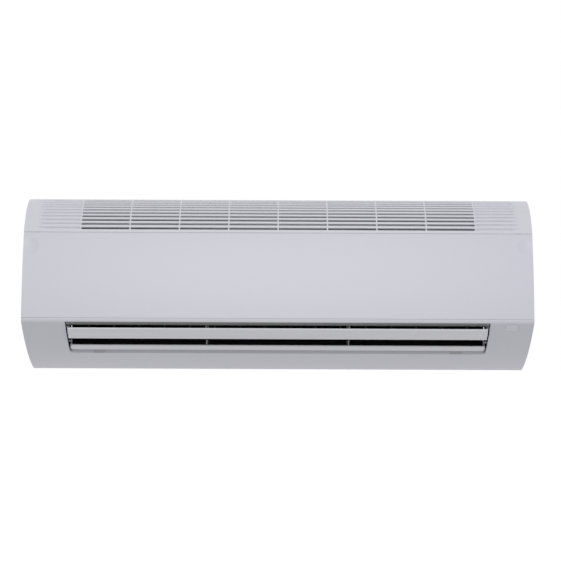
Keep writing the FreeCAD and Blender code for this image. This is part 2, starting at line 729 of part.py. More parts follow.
def front_panel():
    """Hinged front panel with a rolled top edge, end flanges and finger scoops."""
    foot = S.seam
    head = PANEL.length - S.seam - S.bead_radius
    deep = S.panel_pocket - S.panel_gap
    end = HALF
    slab = drawn(PANEL.band(foot, head, 0, S.panel_thick), -end, end)
    bead = pin(HINGE - X_AXIS * end, X_AXIS * 2 * end, S.bead_radius)
    lip = drawn(PANEL.band(foot, foot + S.panel_thick, 0, deep), -end, end)
    flange = drawn(PANEL.band(foot, head, 0, deep), end - S.panel_thick, end)
    panel = slab.fuse([bead, lip] + both(flange))
    notch = S.ear_width / 2 + S.panel_gap
    eye = pin(
        HINGE + X_AXIS * (S.hinge_reach - notch),
        X_AXIS * 2 * notch,
        S.bead_radius + S.panel_gap,
    )
    skin = PANEL.band(head - 2 * S.bead_radius, PANEL.length, -PAST, S.ear_skin)
    eye = eye.cut(drawn(skin, S.hinge_reach - S.ear_width, S.hinge_reach + S.ear_width))
    hole = pin(
        HINGE + X_AXIS * (S.hinge_reach - S.hinge_pin_length / 2),
        X_AXIS * S.hinge_pin_length,
        PIN_HOLE,
    )
    along = PANEL.length - S.dimple_drop
    ball = Part.makeSphere(
        S.dimple_radius,
        PANEL.at(along, S.dimple_depth - S.dimple_radius) + X_AXIS * S.dimple_reach,
    )
    return panel.cut(both(eye) + both(hole) + both(ball))


def filter_pieces(low, high):
    """Frame and net of one air filter between two places along X."""
    foot = S.filter_foot
    head = foot + S.filter_rise
    front = FLOOR + S.fit_gap
    back = front + S.filter_thick
    plate = drawn(PANEL.band(foot, head, front, back), low, high)
    inner = (foot + S.filter_border, head - S.filter_border)
    middle = (inner[0] + inner[1]) / 2
    spans = [(inner[0], middle - S.filter_rib / 2), (middle + S.filter_rib / 2, inner[1])]
    columns = int(S.filter_columns)
    clear = high - low - 2 * S.filter_border
    pitch = (clear + S.filter_rib) / columns
    cells = []
    nets = []
    net_front = (front + back - S.filter_mesh) / 2
    for column in range(columns):
        start = low + S.filter_border + column * pitch
        for begin, end in spans:
            cell = PANEL.band(begin, end, front - PAST, back + PAST)
            cells.append(drawn(cell, start, start + pitch - S.filter_rib))
            net = PANEL.band(begin, end, net_front, net_front + S.filter_mesh)
            nets.append(drawn(net, start, start + pitch - S.filter_rib))
    return plate.cut(cells), Part.makeCompound(nets)


def casing_pieces():
    """Frame, panel, filters and the small pieces set into the frame."""
    node(shaped("FrontFrame", front_frame()), "front_frame")
    node(shaped("FrontPanel", front_panel()), "front_panel")
    start = HINGE + X_AXIS * (S.hinge_reach - S.hinge_pin_length / 2)
    pins = both(pin(start, X_AXIS * S.hinge_pin_length, S.hinge_pin_radius))
    node(shaped("HingePins", Part.makeCompound(pins)), "hinge_pins")
    frame, net = filter_pieces(S.filter_middle, S.filter_outer)
    node(shaped("FilterRight", frame), "filter_right")
    node(shaped("FilterRightNet", net), "filter_right_net")
    frame, net = filter_pieces(-S.filter_outer, -S.filter_middle)
    node(shaped("FilterLeft", frame), "filter_left")
    node(shaped("FilterLeftNet", net), "filter_left_net")
    cavity = casing_cavity(S.wall, -HALF + S.wall, HALF - S.wall)
    window = CASING.cut(cavity).common(window_prism(-S.window_gap))
    node(shaped("ReceiverWindow", window), "receiver_window")
    caps = both(cap_block(0, OUTLET_REAR + S.cap_seat, S.cap_thick))
    node(shaped("ScrewCaps", Part.makeCompound(caps)), "screw_caps")
    head = pin(
        Vector(S.cap_reach, CAP_BACK + S.fit_gap, SCREW_Z),
        Y_AXIS * (S.screw_head - S.fit_gap),
        S.screw_head_radius,
    )
    shank = pin(
        Vector(S.cap_reach, CAP_BACK + S.fit_gap, SCREW_Z),
        Y_AXIS * S.frame_screw_length,
        S.frame_screw_radius,
    )
    node(shaped("FrameScrews", Part.makeCompound(both(head.fuse(shank)))), "frame_screws")


casing_pieces()

BACK_FACE = -S.back_gap - S.back_thick
END_IN = S.end_wall_reach
END_OUT = S.end_wall_reach + S.end_wall
CARRIER_TOP = S.pan_floor - S.fit_gap
CARRIER_FOOT = CARRIER_TOP - S.carrier_thick


def louvre_frame(back, rise, slope, inset):
    """Middle, chord direction, inward normal and pivot of a horizontal louvre."""
    angle = math.radians(slope)
    middle = point(-back, rise)
    chord = point(math.cos(angle), -math.sin(angle))
    inward = point(math.sin(angle), math.cos(angle))
    return middle, chord, inward, middle + inward * inset


UPPER = louvre_frame(S.upper_back, S.upper_rise, S.upper_slope, S.upper_inset)
LOWER = louvre_frame(S.lower_back, S.lower_rise, S.lower_slope, S.lower_inset)
UPPER_PIVOT = UPPER[3]
LOWER_PIVOT = LOWER[3]
LOUVRE_HOLE = S.louvre_pin_radius + S.running_gap


def wall_plate():
    """Steel plate screwed to the wall, with two hooks that carry the unit."""
    plate = block(
        "Plate", "-plate_width / 2", "-plate_thick", "-plate_height / 2",
        "plate_width", "plate_thick", "plate_height",
    )
    tab = block(
        "HookTab", "hook_reach - hook_width / 2",
        "-back_gap - back_thick - fit_gap - plate_thick", "plate_height / 2 - plate_thick",
        "hook_width", "back_gap + back_thick + fit_gap + plate_thick", "plate_thick",
    )
    upstand = block(
        "HookUpstand", "hook_reach - hook_width / 2",
        "-back_gap - back_thick - fit_gap - plate_thick", "plate_height / 2 - plate_thick",
        "hook_width", "plate_thick", "hook_drop + plate_thick",
    )
    hook = fused("HookRight", [tab, upstand])
    holes = []
    for side in ("-", ""):
        for rise in ("-", ""):
            name = "WallHole" + str(len(holes))
            x = side + "screw_span_x / 2"
            z = rise + "screw_span_z / 2"
            hole = rod(name, Y_AXIS, x, "-2 * plate_thick", z, "plate_hole_radius", "3 * plate_thick")
            holes.append(hole)
    window = block(
        "PlateWindow", "plate_window_reach - plate_window_width / 2",
        "-2 * plate_thick", "-plate_window_height / 2",
        "plate_window_width", "3 * plate_thick", "plate_window_height",
    )
    holes.extend([window, mirrored("PlateWindowTwin", window)])
    body = fused("PlateHooks", [plate, hook, mirrored("HookLeft", hook)])
    node(less("WallPlate", body, holes), "wall_plate")


def chassis_walls():
    """End walls of the chassis, which follow the casing's section."""
    wall = casing_cavity(S.wall + S.casing_gap, END_IN, END_OUT, strip=False)
    across = (END_IN - PAST, END_OUT + PAST)
    rear = box(across, (-S.back_gap, S.depth), (-S.height, S.height))
    trough = box(across, (-S.trough_front, S.depth), (-S.height, S.back_foot))
    wall = wall.cut(rear).cut(trough)
    for pivot in (UPPER_PIVOT, LOWER_PIVOT):
        start = pivot + X_AXIS * (END_IN - PAST)
        wall = wall.cut(pin(start, X_AXIS * (S.end_wall + 2 * PAST), LOUVRE_HOLE))
    return both(wall)


SCROLL_NEAR = S.fan_radius + S.scroll_gap
SCROLL_START = FAN + around(S.scroll_start, SCROLL_NEAR)
SCROLL_BACK = FAN + around((S.scroll_start + S.scroll_end) / 2, SCROLL_NEAR + S.scroll_growth / 2)
CHUTE_TOP = FAN + around(S.scroll_end, SCROLL_NEAR + S.scroll_growth)
CHUTE_END = point(OUTLET_REAR + S.flange_thick + S.fit_gap, RIM + S.flange_height + S.scroll_thick)


def scroll_wall():
    """Curved rear duct behind the fan, running down to the outlet."""
    circle = Part.Circle(SCROLL_START, SCROLL_BACK, CHUTE_TOP)
    centre = circle.Center
    thick = S.scroll_thick

    def pushed(place):
        """Point straight behind a place on the scroll, on its outer face."""
        return centre + (place - centre).normalize() * (circle.Radius + thick)

    chute = CHUTE_END - CHUTE_TOP
    under = point(-chute.z, chute.y).normalize()
    edges = [
        Part.Arc(SCROLL_START, SCROLL_BACK, CHUTE_TOP).toShape(),
        Part.makeLine(CHUTE_TOP, CHUTE_END),
        Part.makeLine(CHUTE_END, CHUTE_END + under * thick),
        Part.makeLine(CHUTE_END + under * thick, pushed(CHUTE_TOP)),
        Part.Arc(pushed(CHUTE_TOP), pushed(SCROLL_BACK), pushed(SCROLL_START)).toShape(),
        Part.makeLine(pushed(SCROLL_START), SCROLL_START),
    ]
    return drawn(Part.Face(Part.Wire(edges)), -END_IN, END_IN)


def lower_bracket():
    """Arm from the duct that holds the middle of the lower louvre."""
    low = S.bracket_reach - S.bracket_thick / 2
    high = low + S.bracket_thick
    chute = (CHUTE_END - CHUTE_TOP).normalize()
    elbow = LOWER_PIVOT + point(S.elbow_back, S.elbow_rise)
    seat = CHUTE_TOP + chute * S.bracket_seat - Z_AXIS * (S.scroll_thick / 2)
    arm = pin(LOWER_PIVOT + X_AXIS * low, X_AXIS * S.bracket_thick, S.ear_radius)
    bend = pin(elbow + X_AXIS * low, X_AXIS * S.bracket_thick, S.bracket_width / 2)
    lower = strut(LOWER_PIVOT, elbow, S.bracket_width, low, high)
    upper = strut(elbow, seat, S.bracket_width, low, high)
    arm = arm.fuse([bend, lower, upper])
    hole = pin(LOWER_PIVOT + X_AXIS * (low - PAST), X_AXIS * (S.bracket_thick + 2 * PAST), LOUVRE_HOLE)
    return arm.cut(hole)


def screw_boss():
    """Post behind the outlet's flange that takes a casing screw."""
    half = S.screw_head_radius + S.wall
    sides = (S.cap_reach - half, S.cap_reach + half)
    start = OUTLET_REAR + S.flange_thick + S.fit_gap
    post = box(sides, (start, start + S.frame_screw_length), (BASE, CHUTE_END.z))
    post = post.common(casing_cavity(S.wall + S.fit_gap, *sides, strip=False))
    hole = pin(
        Vector(S.cap_reach, start - PAST, SCREW_Z),
        Y_AXIS * (S.frame_screw_length + PAST),
        S.frame_screw_radius + S.running_gap,
    )
    return post.cut(hole)


MOTOR_X = END_OUT + S.motor_gap
CRADLE_TOP = FAN.z - S.fit_gap
CLAMP_REACH = S.motor_radius + S.clamp_foot


def motor_cradle():
    """Seat on the right end wall for the fan motor, joined to the back plate."""
    far = MOTOR_X + S.motor_length - S.clamp_foot / 2
    foot = FAN.z - S.motor_radius - S.end_wall
    seat = box((END_OUT, far), (FAN.y - CLAMP_REACH, BACK_FACE), (foot, CRADLE_TOP))
    bed = pin(FAN + X_AXIS * END_OUT, X_AXIS * (S.motor_length + 2 * PAST), S.motor_radius + S.fit_gap)
    return seat.cut(bed)


def chassis():
    """Rear chassis: back plate, end walls, rear duct, trough, ribs, seats and bosses."""
    back = block(
        "BackPlate", "-end_wall_reach - end_wall", "-back_gap - back_thick", "back_foot",
        "2 * end_wall_reach + 2 * end_wall", "back_thick", "back_top - back_foot",
    )
    wing = block(
        "BackWing", "end_wall_reach", "-back_gap - back_thick", "back_foot",
        "width / 2 - wall - casing_gap - end_wall_reach", "back_thick", "back_top - back_foot",
    )
    shelf = block(
        "DripShelf", "-end_wall_reach", "-shelf_front", "shelf_rise",
        "2 * end_wall_reach", "shelf_front - back_gap", "rib_thick",
    )
    lip = block(
        "DripLip", "-end_wall_reach", "-shelf_front", "shelf_rise",
        "2 * end_wall_reach", "rib_thick", "shelf_lip",
    )
    ribs = []
    for place in ("rib_inner", "rib_outer"):
        rib = block(
            "Rib_" + place, place + " - rib_thick / 2", "-back_gap", "-plate_height / 2",
            "rib_thick", "back_gap - plate_thick - running_gap", "plate_height - hook_drop * 2",
        )
        ribs.extend([rib, mirrored("RibTwin_" + place, rib)])
    pieces = [scroll_wall(), motor_cradle()]
    pieces.extend(chassis_walls() + both(lower_bracket()) + both(screw_boss()))
    made = [shaped("ChassisPiece" + str(count), piece) for count, piece in enumerate(pieces)]
    body = fused("ChassisBody", [back, wing, mirrored("BackWingTwin", wing), shelf, lip] + ribs + made)
    slot = block(
        "HookSlot", "hook_reach - hook_width / 2 - fit_gap", "-back_gap - back_thick - overshoot",
        "plate_height / 2 - hook_drop - 4 * plate_thick",
        "hook_width + 2 * fit_gap", "back_thick + 2 * overshoot",
        "hook_drop + 4 * plate_thick + fit_gap",
    )
    cuts = [slot, mirrored("HookSlotTwin", slot)]
    cuts.append(rod("ShaftHole", X_AXIS, "end_wall_reach - overshoot", "-fan_back", "fan_rise",
                    "shaft_radius + shaft_room", "end_wall + 2 * overshoot"))
    cuts.append(rod("BearingHole", X_AXIS, "-end_wall_reach - end_wall - overshoot", "-fan_back", "fan_rise",
                    "bearing_radius + running_gap", "end_wall + 2 * overshoot"))
    cuts.append(rod("SpigotHole", X_AXIS, "-end_wall_reach - end_wall - overshoot", "-spigot_back",
                    "pan_floor + pan_thick + spigot_radius",
                    "spigot_neck + fit_gap", "end_wall + 2 * overshoot"))
    for name, radius, place in pipe_holes():
        hole = pin(place - X_AXIS * (END_OUT + PAST), X_AXIS * (S.end_wall + 2 * PAST), radius + S.fit_gap)
        cuts.append(shaped(name, hole))
    for side in ("-", ""):
        for rise in ("-", ""):
            cuts.append(rod("Access" + str(len(cuts)), Y_AXIS, side + "screw_span_x / 2",
                            "-back_gap - back_thick - overshoot", rise + "screw_span_z / 2",
                            "plate_hole_radius + access_gap", "back_thick + 2 * overshoot"))
    node(less("Chassis", body, cuts), "rear_chassis")


def drain_pan():
    """Trough under the front of the coil, and its drain spigot."""
    outer = block("PanOuter", "-end_wall_reach + fit_gap", "-pan_front", "pan_floor",
                  "2 * end_wall_reach - 2 * fit_gap", "pan_front - pan_back", "pan_depth")
    inner = block("PanInner", "-end_wall_reach + fit_gap + pan_thick", "-pan_front + pan_thick",
                  "pan_floor + pan_thick", "2 * end_wall_reach - 2 * fit_gap - 2 * pan_thick",
                  "pan_front - pan_back - 2 * pan_thick", "pan_depth")
    drain = rod("PanDrain", X_AXIS, "-end_wall_reach - overshoot", "-spigot_back",
                "pan_floor + pan_thick + spigot_radius", "spigot_bore", "pan_thick + 3 * overshoot")
    node(less("DrainPan", outer, [inner, drain]), "drain_pan")
    level = "pan_floor + pan_thick + spigot_radius"
    neck = rod("SpigotNeck", X_AXIS, "-end_wall_reach - end_wall - fit_gap - spigot_collar", "-spigot_back",
               level, "spigot_neck", "end_wall + 2 * fit_gap + spigot_collar")
    collar = rod("SpigotCollar", X_AXIS, "-end_wall_reach - end_wall - fit_gap - spigot_collar",
                 "-spigot_back", level, "spigot_radius + spigot_collar", "spigot_collar")
    barrel = rod("SpigotBarrel", X_AXIS,
                 "-end_wall_reach - end_wall - fit_gap - spigot_collar - spigot_length", "-spigot_back",
                 level, "spigot_radius", "spigot_length")
    bore = rod("SpigotBore", X_AXIS,
               "-end_wall_reach - end_wall - 2 * spigot_collar - spigot_length", "-spigot_back",
               level, "spigot_bore", "2 * end_wall + 2 * spigot_collar + spigot_length")
    node(less("DrainSpigot", fused("SpigotSolid", [neck, collar, barrel]), [bore]), "drain_spigot")


def vane_places():
    """Name and X place of every upright vane, from the middle outwards on each side."""
    places = []
    for side, sign in (("left", -1), ("right", 1)):
        for count in range(int(S.vane_count)):
            places.append((f"vane_{side}_{count + 1}", sign * S.vane_pitch * (count + 0.5)))
    return places


def vane_carrier():
    """Plate under the drain pan that carries the vanes and the upper louvre's brackets."""
    plate = block("CarrierPlate", "-end_wall_reach + fit_gap", "-carrier_front",
                  "pan_floor - fit_gap - carrier_thick", "2 * end_wall_reach - 2 * fit_gap",
                  "carrier_front - carrier_back", "carrier_thick")
    front = UNDER.meet(point(0, OUTLET_TOP), point(-1, 0), S.wall).y + S.fit_gap
    edge = point(front, OUTLET_TOP - S.fit_gap)
    rear = -S.carrier_front + S.lip_depth
    corners = [
        edge,
        point(rear, edge.z - S.lip_fall),
        point(rear, CARRIER_FOOT + S.carrier_thick / 2),
        point(-S.carrier_front, CARRIER_FOOT + S.carrier_thick / 2),
        point(-S.carrier_front, edge.z + S.lip_thick),
        edge + point(0, S.lip_thick),
    ]
    reach = S.outlet_width / 2 - S.overshoot
    lip = shaped("CarrierLip", drawn(polygon(corners), -reach, reach))
    low = S.bracket_reach - S.bracket_thick / 2
    root = point(UPPER_PIVOT.y, CARRIER_TOP - S.carrier_thick / 2)
    arm = strut(UPPER_PIVOT, root, 2 * S.ear_radius, low, low + S.bracket_thick)
    arm = arm.fuse(pin(UPPER_PIVOT + X_AXIS * low, X_AXIS * S.bracket_thick, S.ear_radius))
    hole = pin(UPPER_PIVOT + X_AXIS * (low - PAST), X_AXIS * (S.bracket_thick + 2 * PAST), LOUVRE_HOLE)
    arm = arm.cut(hole)
    arms = [shaped("CarrierArm" + str(count), piece) for count, piece in enumerate(both(arm))]
    through = Z_AXIS * (S.carrier_thick + 2 * PAST)
    holes = []
    for name, x in vane_places():
        start = Vector(x, -S.vane_pivot, CARRIER_FOOT - PAST)
        holes.append(pin(start, through, S.vane_pin_radius + S.running_gap))
    body = fused("CarrierBody", [plate, lip] + arms)
    node(less("VaneCarrier", body, [shaped("VaneHoles", Part.makeCompound(holes))]), "vane_carrier")


class FinPack:
    """One straight block of fins with two rows of tubes."""

    def __init__(self, back, rise, length, lean, tubes):
        angle = math.radians(lean)
        self.foot = point(-back, rise)
        self.way = point(math.sin(angle), math.cos(angle))
        self.face = point(-math.cos(angle), math.sin(angle))
        self.length = length
        self.tubes = int(tubes)

    def tube_places(self):
        """Centres of the tubes, in the order in which the refrigerant passes them."""
        places = []
        first = (self.length - (self.tubes - 1) * S.tube_pitch) / 2
        for column in range(self.tubes):
            middle = self.foot + self.way * (first + column * S.tube_pitch)
            side = -1 if column % 2 == 0 else 1
            for row_side in (side, -side):
                places.append(middle + self.face * row_side * S.tube_rows / 2)
        return places

    def slab(self, low, high, trim=0.0):
        """Block of the pack's section between two places along X."""
        half = S.coil_thick / 2 - trim
        corners = [
            self.foot + self.way * trim - self.face * half,
            self.foot + self.way * trim + self.face * half,
            self.foot + self.way * (self.length - trim) + self.face * half,
            self.foot + self.way * (self.length - trim) - self.face * half,
        ]
        return drawn(polygon(corners), low, high)

    def drilled(self, low, high, trim=0.0):
        """That block with the tube holes through it."""
        through = X_AXIS * (high - low + 2 * PAST)
        holes = []
        for place in self.tube_places():
            holes.append(pin(place + X_AXIS * (low - PAST), through, S.tube_radius + S.running_gap))
        return self.slab(low, high, trim).cut(holes)


LOW_PACK = FinPack(
    S.low_pack_back, S.low_pack_rise, S.low_pack_length, S.low_pack_lean, S.low_pack_tubes
)
HIGH_PACK = FinPack(
    S.high_pack_back, S.high_pack_rise, S.high_pack_length, S.high_pack_lean, S.high_pack_tubes
)
REAR_PACK = FinPack(
    S.rear_pack_back, S.rear_pack_rise, S.rear_pack_length, S.rear_pack_lean, S.rear_pack_tubes
)
PACKS = [("low", LOW_PACK), ("high", HIGH_PACK), ("rear", REAR_PACK)]
COIL_HALF = S.coil_length / 2
COIL_TURN = COIL_HALF + S.end_plate + S.coil_tail


def pipe_holes():
    """Places where the refrigerant pipes leave through the left end wall."""
    return [
        ("LiquidHole", S.liquid_radius, LOW_PACK.tube_places()[0]),
        ("SuctionHole", S.suction_radius, REAR_PACK.tube_places()[-1]),
    ]


def end_plates():
    """Steel plates at both ends of each fin pack, with a foot on the chassis end wall."""
    plates = []
    for name, pack in PACKS:
        plate = pack.drilled(COIL_HALF, COIL_HALF + S.end_plate)
        edge = pack.foot + pack.way * (pack.length / 2)
        face = S.coil_thick / 2
        reach = S.tube_pitch / 2
        if name == "rear":
            face = -face + S.end_plate
        corners = [
            edge + pack.face * face - pack.way * reach,
            edge + pack.face * face + pack.way * reach,
            edge + pack.face * (face - S.end_plate) + pack.way * reach,
            edge + pack.face * (face - S.end_plate) - pack.way * reach,
        ]
        foot = drawn(polygon(corners), COIL_HALF, END_IN - S.running_gap)
        plates.extend(both(plate.fuse(foot)))
    return Part.makeCompound(plates)


def coil_circuit():
    """Corners of the one tube that passes through all three fin packs."""
    places = []
    for name, pack in PACKS:
        places.extend(pack.tube_places())
    tail = COIL_TURN
    corners = [places[0] - X_AXIS * tail]
    side = 1
    for here, onward in zip(places, places[1:]):
        corners.append(here + X_AXIS * side * tail)
        corners.append(onward + X_AXIS * side * tail)
        side = -side
    corners.append(places[-1] - X_AXIS * tail)
    return corners


def coil_pieces():
    """Fin packs, end plates, tube circuit and the two pipes with their unions."""
    for name, pack in PACKS:
        node(shaped("Fins_" + name, pack.drilled(-COIL_HALF, COIL_HALF)), "fins_" + name)
    node(shaped("EndPlates", end_plates()), "coil_end_plates")
    node(shaped("CoilTube", tube(coil_circuit(), S.tube_radius, S.coil_bend)), "coil_tube")
    start = LOW_PACK.tube_places()[0]
    y = -S.liquid_back
    liquid = [
        start - X_AXIS * COIL_TURN,
        start - X_AXIS * S.liquid_drop_reach,
        Vector(-S.liquid_drop_reach, y, start.z),
        Vector(-S.liquid_drop_reach, y, S.liquid_level),
        Vector(-S.liquid_end, y, S.liquid_level),
    ]
    node(shaped("LiquidPipe", tube(liquid, S.liquid_radius, S.pipe_bend)), "liquid_pipe")
    union = pin(liquid[-1], X_AXIS * S.union_length, S.liquid_union_radius)
    node(shaped("LiquidUnion", union), "liquid_union")
    start = REAR_PACK.tube_places()[-1]
    suction = [
        start - X_AXIS * COIL_TURN,
        start - X_AXIS * S.suction_drop_reach,
        Vector(-S.suction_drop_reach, start.y, S.suction_level),
        Vector(-S.suction_end, start.y, S.suction_level),
    ]
    node(shaped("SuctionPipe", tube(suction, S.suction_radius, S.pipe_bend)), "suction_pipe")
    union = pin(suction[-1], X_AXIS * S.union_length, S.suction_union_radius)
    node(shaped("SuctionUnion", union), "suction_union")


def fan_rotor():
    """Cross-flow fan: end discs on the shaft, ring discs between and blades all round."""
    half = S.fan_length / 2
    bore = S.shaft_radius + S.running_gap
    step = (S.fan_length - S.disc_thick) / (S.fan_discs - 1)
    parts = []
    for count in range(int(S.fan_discs)):
        start = FAN + X_AXIS * (-half + count * step)
        disc = pin(start, X_AXIS * S.disc_thick, S.fan_radius)
        last = count in (0, int(S.fan_discs) - 1)
        inner = bore if last else S.fan_radius - S.blade_chord - S.disc_thick
        parts.append(disc.cut(pin(start - X_AXIS * PAST, X_AXIS * (S.disc_thick + 2 * PAST), inner)))
    low = S.fan_radius - S.blade_chord
    high = S.fan_radius - S.blade_thick / 2
    reach = half - S.disc_thick / 2
    sweep = math.radians(S.blade_sweep)
    for count in range(int(S.fan_blades)):
        turn = 2 * math.pi * count / S.fan_blades
        inner = point(math.cos(turn), math.sin(turn)) * low
        outer = point(math.cos(turn + sweep), math.sin(turn + sweep)) * high
        parts.append(strut(FAN + inner, FAN + outer, S.blade_thick, -reach, reach))
    return parts[0].fuse(parts[1:])


def fan_pieces():
    """Fan, shaft, motor with its clamp and screws, and the far bearing."""
    node(shaped("FanRotor", fan_rotor()), "fan_rotor")
    node(rod("FanShaft", X_AXIS, "-end_wall_reach - bearing_length", "-fan_back", "fan_rise", "shaft_radius",
             "2 * end_wall_reach + bearing_length + end_wall + motor_gap + motor_bore"), "fan_shaft")
    motor = rod("MotorBody", X_AXIS, "end_wall_reach + end_wall + motor_gap", "-fan_back", "fan_rise",
                "motor_radius", "motor_length")
    bore = rod("MotorBore", X_AXIS, "end_wall_reach", "-fan_back", "fan_rise",
               "shaft_radius + running_gap", "end_wall + motor_gap + motor_bore + fit_gap")
    node(less("FanMotor", motor, [bore]), "fan_motor")
    low = MOTOR_X + S.motor_length / 2 - S.clamp_width / 2
    across = X_AXIS * S.clamp_width
    inner = S.motor_radius + S.fit_gap
    ring = pin(FAN + X_AXIS * low, across, inner + S.clamp_thick)
    reach = (FAN.y - CLAMP_REACH, FAN.y + CLAMP_REACH)
    foot = box((low, low + S.clamp_width), reach, (FAN.z, FAN.z + S.clamp_thick))
    under = box((low - PAST, low + S.clamp_width + PAST), (-S.depth, S.depth), (-S.height, FAN.z))
    bed = pin(FAN + X_AXIS * (low - PAST), X_AXIS * (S.clamp_width + 2 * PAST), inner)
    clamp = ring.fuse(foot).cut([under, bed])
    screws = []
    holes = []
    for side in (-1, 1):
        place = FAN + point(side * (CLAMP_REACH - S.clamp_foot / 3), S.clamp_thick)
        place = place + X_AXIS * (low + S.clamp_width / 2)
        holes.append(pin(place - Z_AXIS * 2 * S.clamp_thick, Z_AXIS * 3 * S.clamp_thick, SCREW_HOLE))
        head = pin(place, Z_AXIS * S.screw_head, S.screw_head_radius)
        shank = pin(place, Z_AXIS * -(S.clamp_thick + S.fit_gap / 2), S.frame_screw_radius)
        screws.append(head.fuse(shank))
    node(shaped("MotorClamp", clamp.cut(holes)), "motor_clamp")
    node(shaped("ClampScrews", Part.makeCompound(screws)), "clamp_screws")
    bush = rod("BushOuter", X_AXIS, "-end_wall_reach - bearing_length", "-fan_back", "fan_rise",
               "bush_radius", "bearing_length")
    shaft = rod("BushInner", X_AXIS, "-end_wall_reach - bearing_length - overshoot", "-fan_back", "fan_rise",
                "shaft_radius + running_gap", "bearing_length + 2 * overshoot")
    node(less("FanBush", bush, [shaft]), "fan_bush")
    ring = rod("MountOuter", X_AXIS, "-end_wall_reach - bearing_length", "-fan_back", "fan_rise",
               "bearing_radius", "bearing_length")
    hole = rod("MountInner", X_AXIS, "-end_wall_reach - bearing_length - overshoot", "-fan_back", "fan_rise",
               "bush_radius + running_gap", "bearing_length + 2 * overshoot")
    node(less("BearingMount", ring, [hole]), "bearing_mount")


PIVOT_LINE = math.degrees(math.atan2(LOWER_PIVOT.z - UPPER_PIVOT.z, LOWER_PIVOT.y - UPPER_PIVOT.y))
CRANK = around(PIVOT_LINE + S.crank_turn, S.crank)
LINK_X = S.louvre_length / 2 + S.link_gap


def louvre(frame, chord_length):
    """Creased blade with ears, pivot pins and a crank pin for the link."""
    middle, chord, inward, pivot = frame
    half = S.louvre_length / 2
    thick = S.louvre_thick / 2
    front = middle - chord * (chord_length / 2 - thick)
    rear = middle + chord * (chord_length / 2 - thick)
    crown = inward * S.louvre_bulge
    crease = middle + chord * (chord_length * (0.5 - S.louvre_crease)) - crown
    skin = inward * thick
    edges = [
        Part.makeLine(front - skin, crease - skin),
        Part.makeLine(crease - skin, rear - skin),
        Part.Arc(rear - skin, rear + chord * thick, rear + skin).toShape(),
        Part.makeLine(rear + skin, crease + skin),
        Part.makeLine(crease + skin, front + skin),
        Part.Arc(front + skin, front - chord * thick, front - skin).toShape(),
    ]
    blade = drawn(Part.Face(Part.Wire(edges)), -half, half)
    face = middle - skin - crown
    corner = face + X_AXIS * half
    bevel = polygon([corner - X_AXIS * S.louvre_bevel, corner, corner + skin + crown])
    bevel = bevel.translated(chord * -chord_length).extrude(chord * (2 * chord_length))
    parts = [blade.cut(both(bevel))]
    root = middle - crown
    inner = S.bracket_reach + S.bracket_thick / 2 + S.fit_gap
    for low in (inner, half - S.ear_thick):
        parts.extend(both(strut(root, pivot, 2 * S.ear_radius, low, low + S.ear_thick)))
        parts.extend(both(pin(pivot + X_AXIS * low, X_AXIS * S.ear_thick, S.ear_radius)))
    reach = S.bracket_thick + S.fit_gap
    start = pivot + X_AXIS * (inner - reach)
    parts.extend(both(pin(start, X_AXIS * (reach + S.ear_thick), S.louvre_pin_radius)))
    low = half - S.ear_thick
    parts.extend(both(pin(pivot + X_AXIS * low, X_AXIS * (END_OUT - low), S.louvre_pin_radius)))
    hub = pivot + CRANK
    parts.append(strut(pivot, hub, 4 * S.crank_pin_radius, low, half))
    parts.append(pin(hub + X_AXIS * low, X_AXIS * S.ear_thick, 2 * S.crank_pin_radius))
    stub = S.ear_thick + S.link_gap + S.link_thick + S.fit_gap
    parts.append(pin(hub + X_AXIS * low, X_AXIS * stub, S.crank_pin_radius))
    return parts[0].fuse(parts[1:])


def louvre_link():
    """Bar that joins the two louvres' cranks."""
    start = UPPER_PIVOT + CRANK
    end = LOWER_PIVOT + CRANK
    bar = strut(start, end, S.link_width, LINK_X, LINK_X + S.link_thick)
    low = X_AXIS * LINK_X
    wide = X_AXIS * S.link_thick
    bar = bar.fuse([pin(start + low, wide, S.link_width / 2), pin(end + low, wide, S.link_width / 2)])
    past = X_AXIS * PAST
    tight = pin(start + low - past, wide + past * 2, S.crank_pin_radius + S.running_gap)
    loose = pin(end + low - past, wide + past * 2, S.crank_pin_radius + S.fit_gap)
    return bar.cut([tight, loose])


VANE_TOP = CARRIER_FOOT - S.fit_gap - S.tie_thick - S.vane_gap
TIE_Y = -S.vane_pivot + S.vane_crank


def vane(x):
    """Upright vane with its pivot, collar and tie pin."""
    half = S.vane_thick / 2
    rise = (VANE_TOP - S.vane_height, VANE_TOP)
    blade = box((x - half, x + half), (-S.vane_front, -S.vane_back), rise)
    nose = pin(Vector(x, -S.vane_front, VANE_TOP - S.vane_height), Z_AXIS * S.vane_height, half)
    root = Vector(x, -S.vane_pivot, VANE_TOP - S.vane_gap)
    pivot = pin(root, Z_AXIS * (CARRIER_TOP - S.fit_gap - root.z), S.vane_pin_radius)
    collar = pin(root, Z_AXIS * (CARRIER_FOOT - S.fit_gap - root.z), S.vane_collar)
    tie_root = Vector(x, TIE_Y, VANE_TOP - S.vane_gap)
    tie_pin = pin(tie_root, Z_AXIS * (S.vane_gap * 2 + S.tie_thick), S.tie_pin_radius)
    return blade.fuse([nose, pivot, collar, tie_pin])


def tie_bar(places, master):
    """Bar that ties one group of vanes together, close on one pin and loose on the rest."""
    low = min(places) - S.tie_width
    high = max(places) + S.tie_width
    foot = VANE_TOP + S.fit_gap
    sides = (TIE_Y - S.tie_width / 2, TIE_Y + S.tie_width / 2)
    bar = box((low, high), sides, (foot, foot + S.tie_thick))
    holes = []
    for x in places:
        gap = S.running_gap if x == master else S.fit_gap
        start = Vector(x, TIE_Y, foot - PAST)
        holes.append(pin(start, Z_AXIS * (S.tie_thick + 2 * PAST), S.tie_pin_radius + gap))
    return bar.cut(holes)


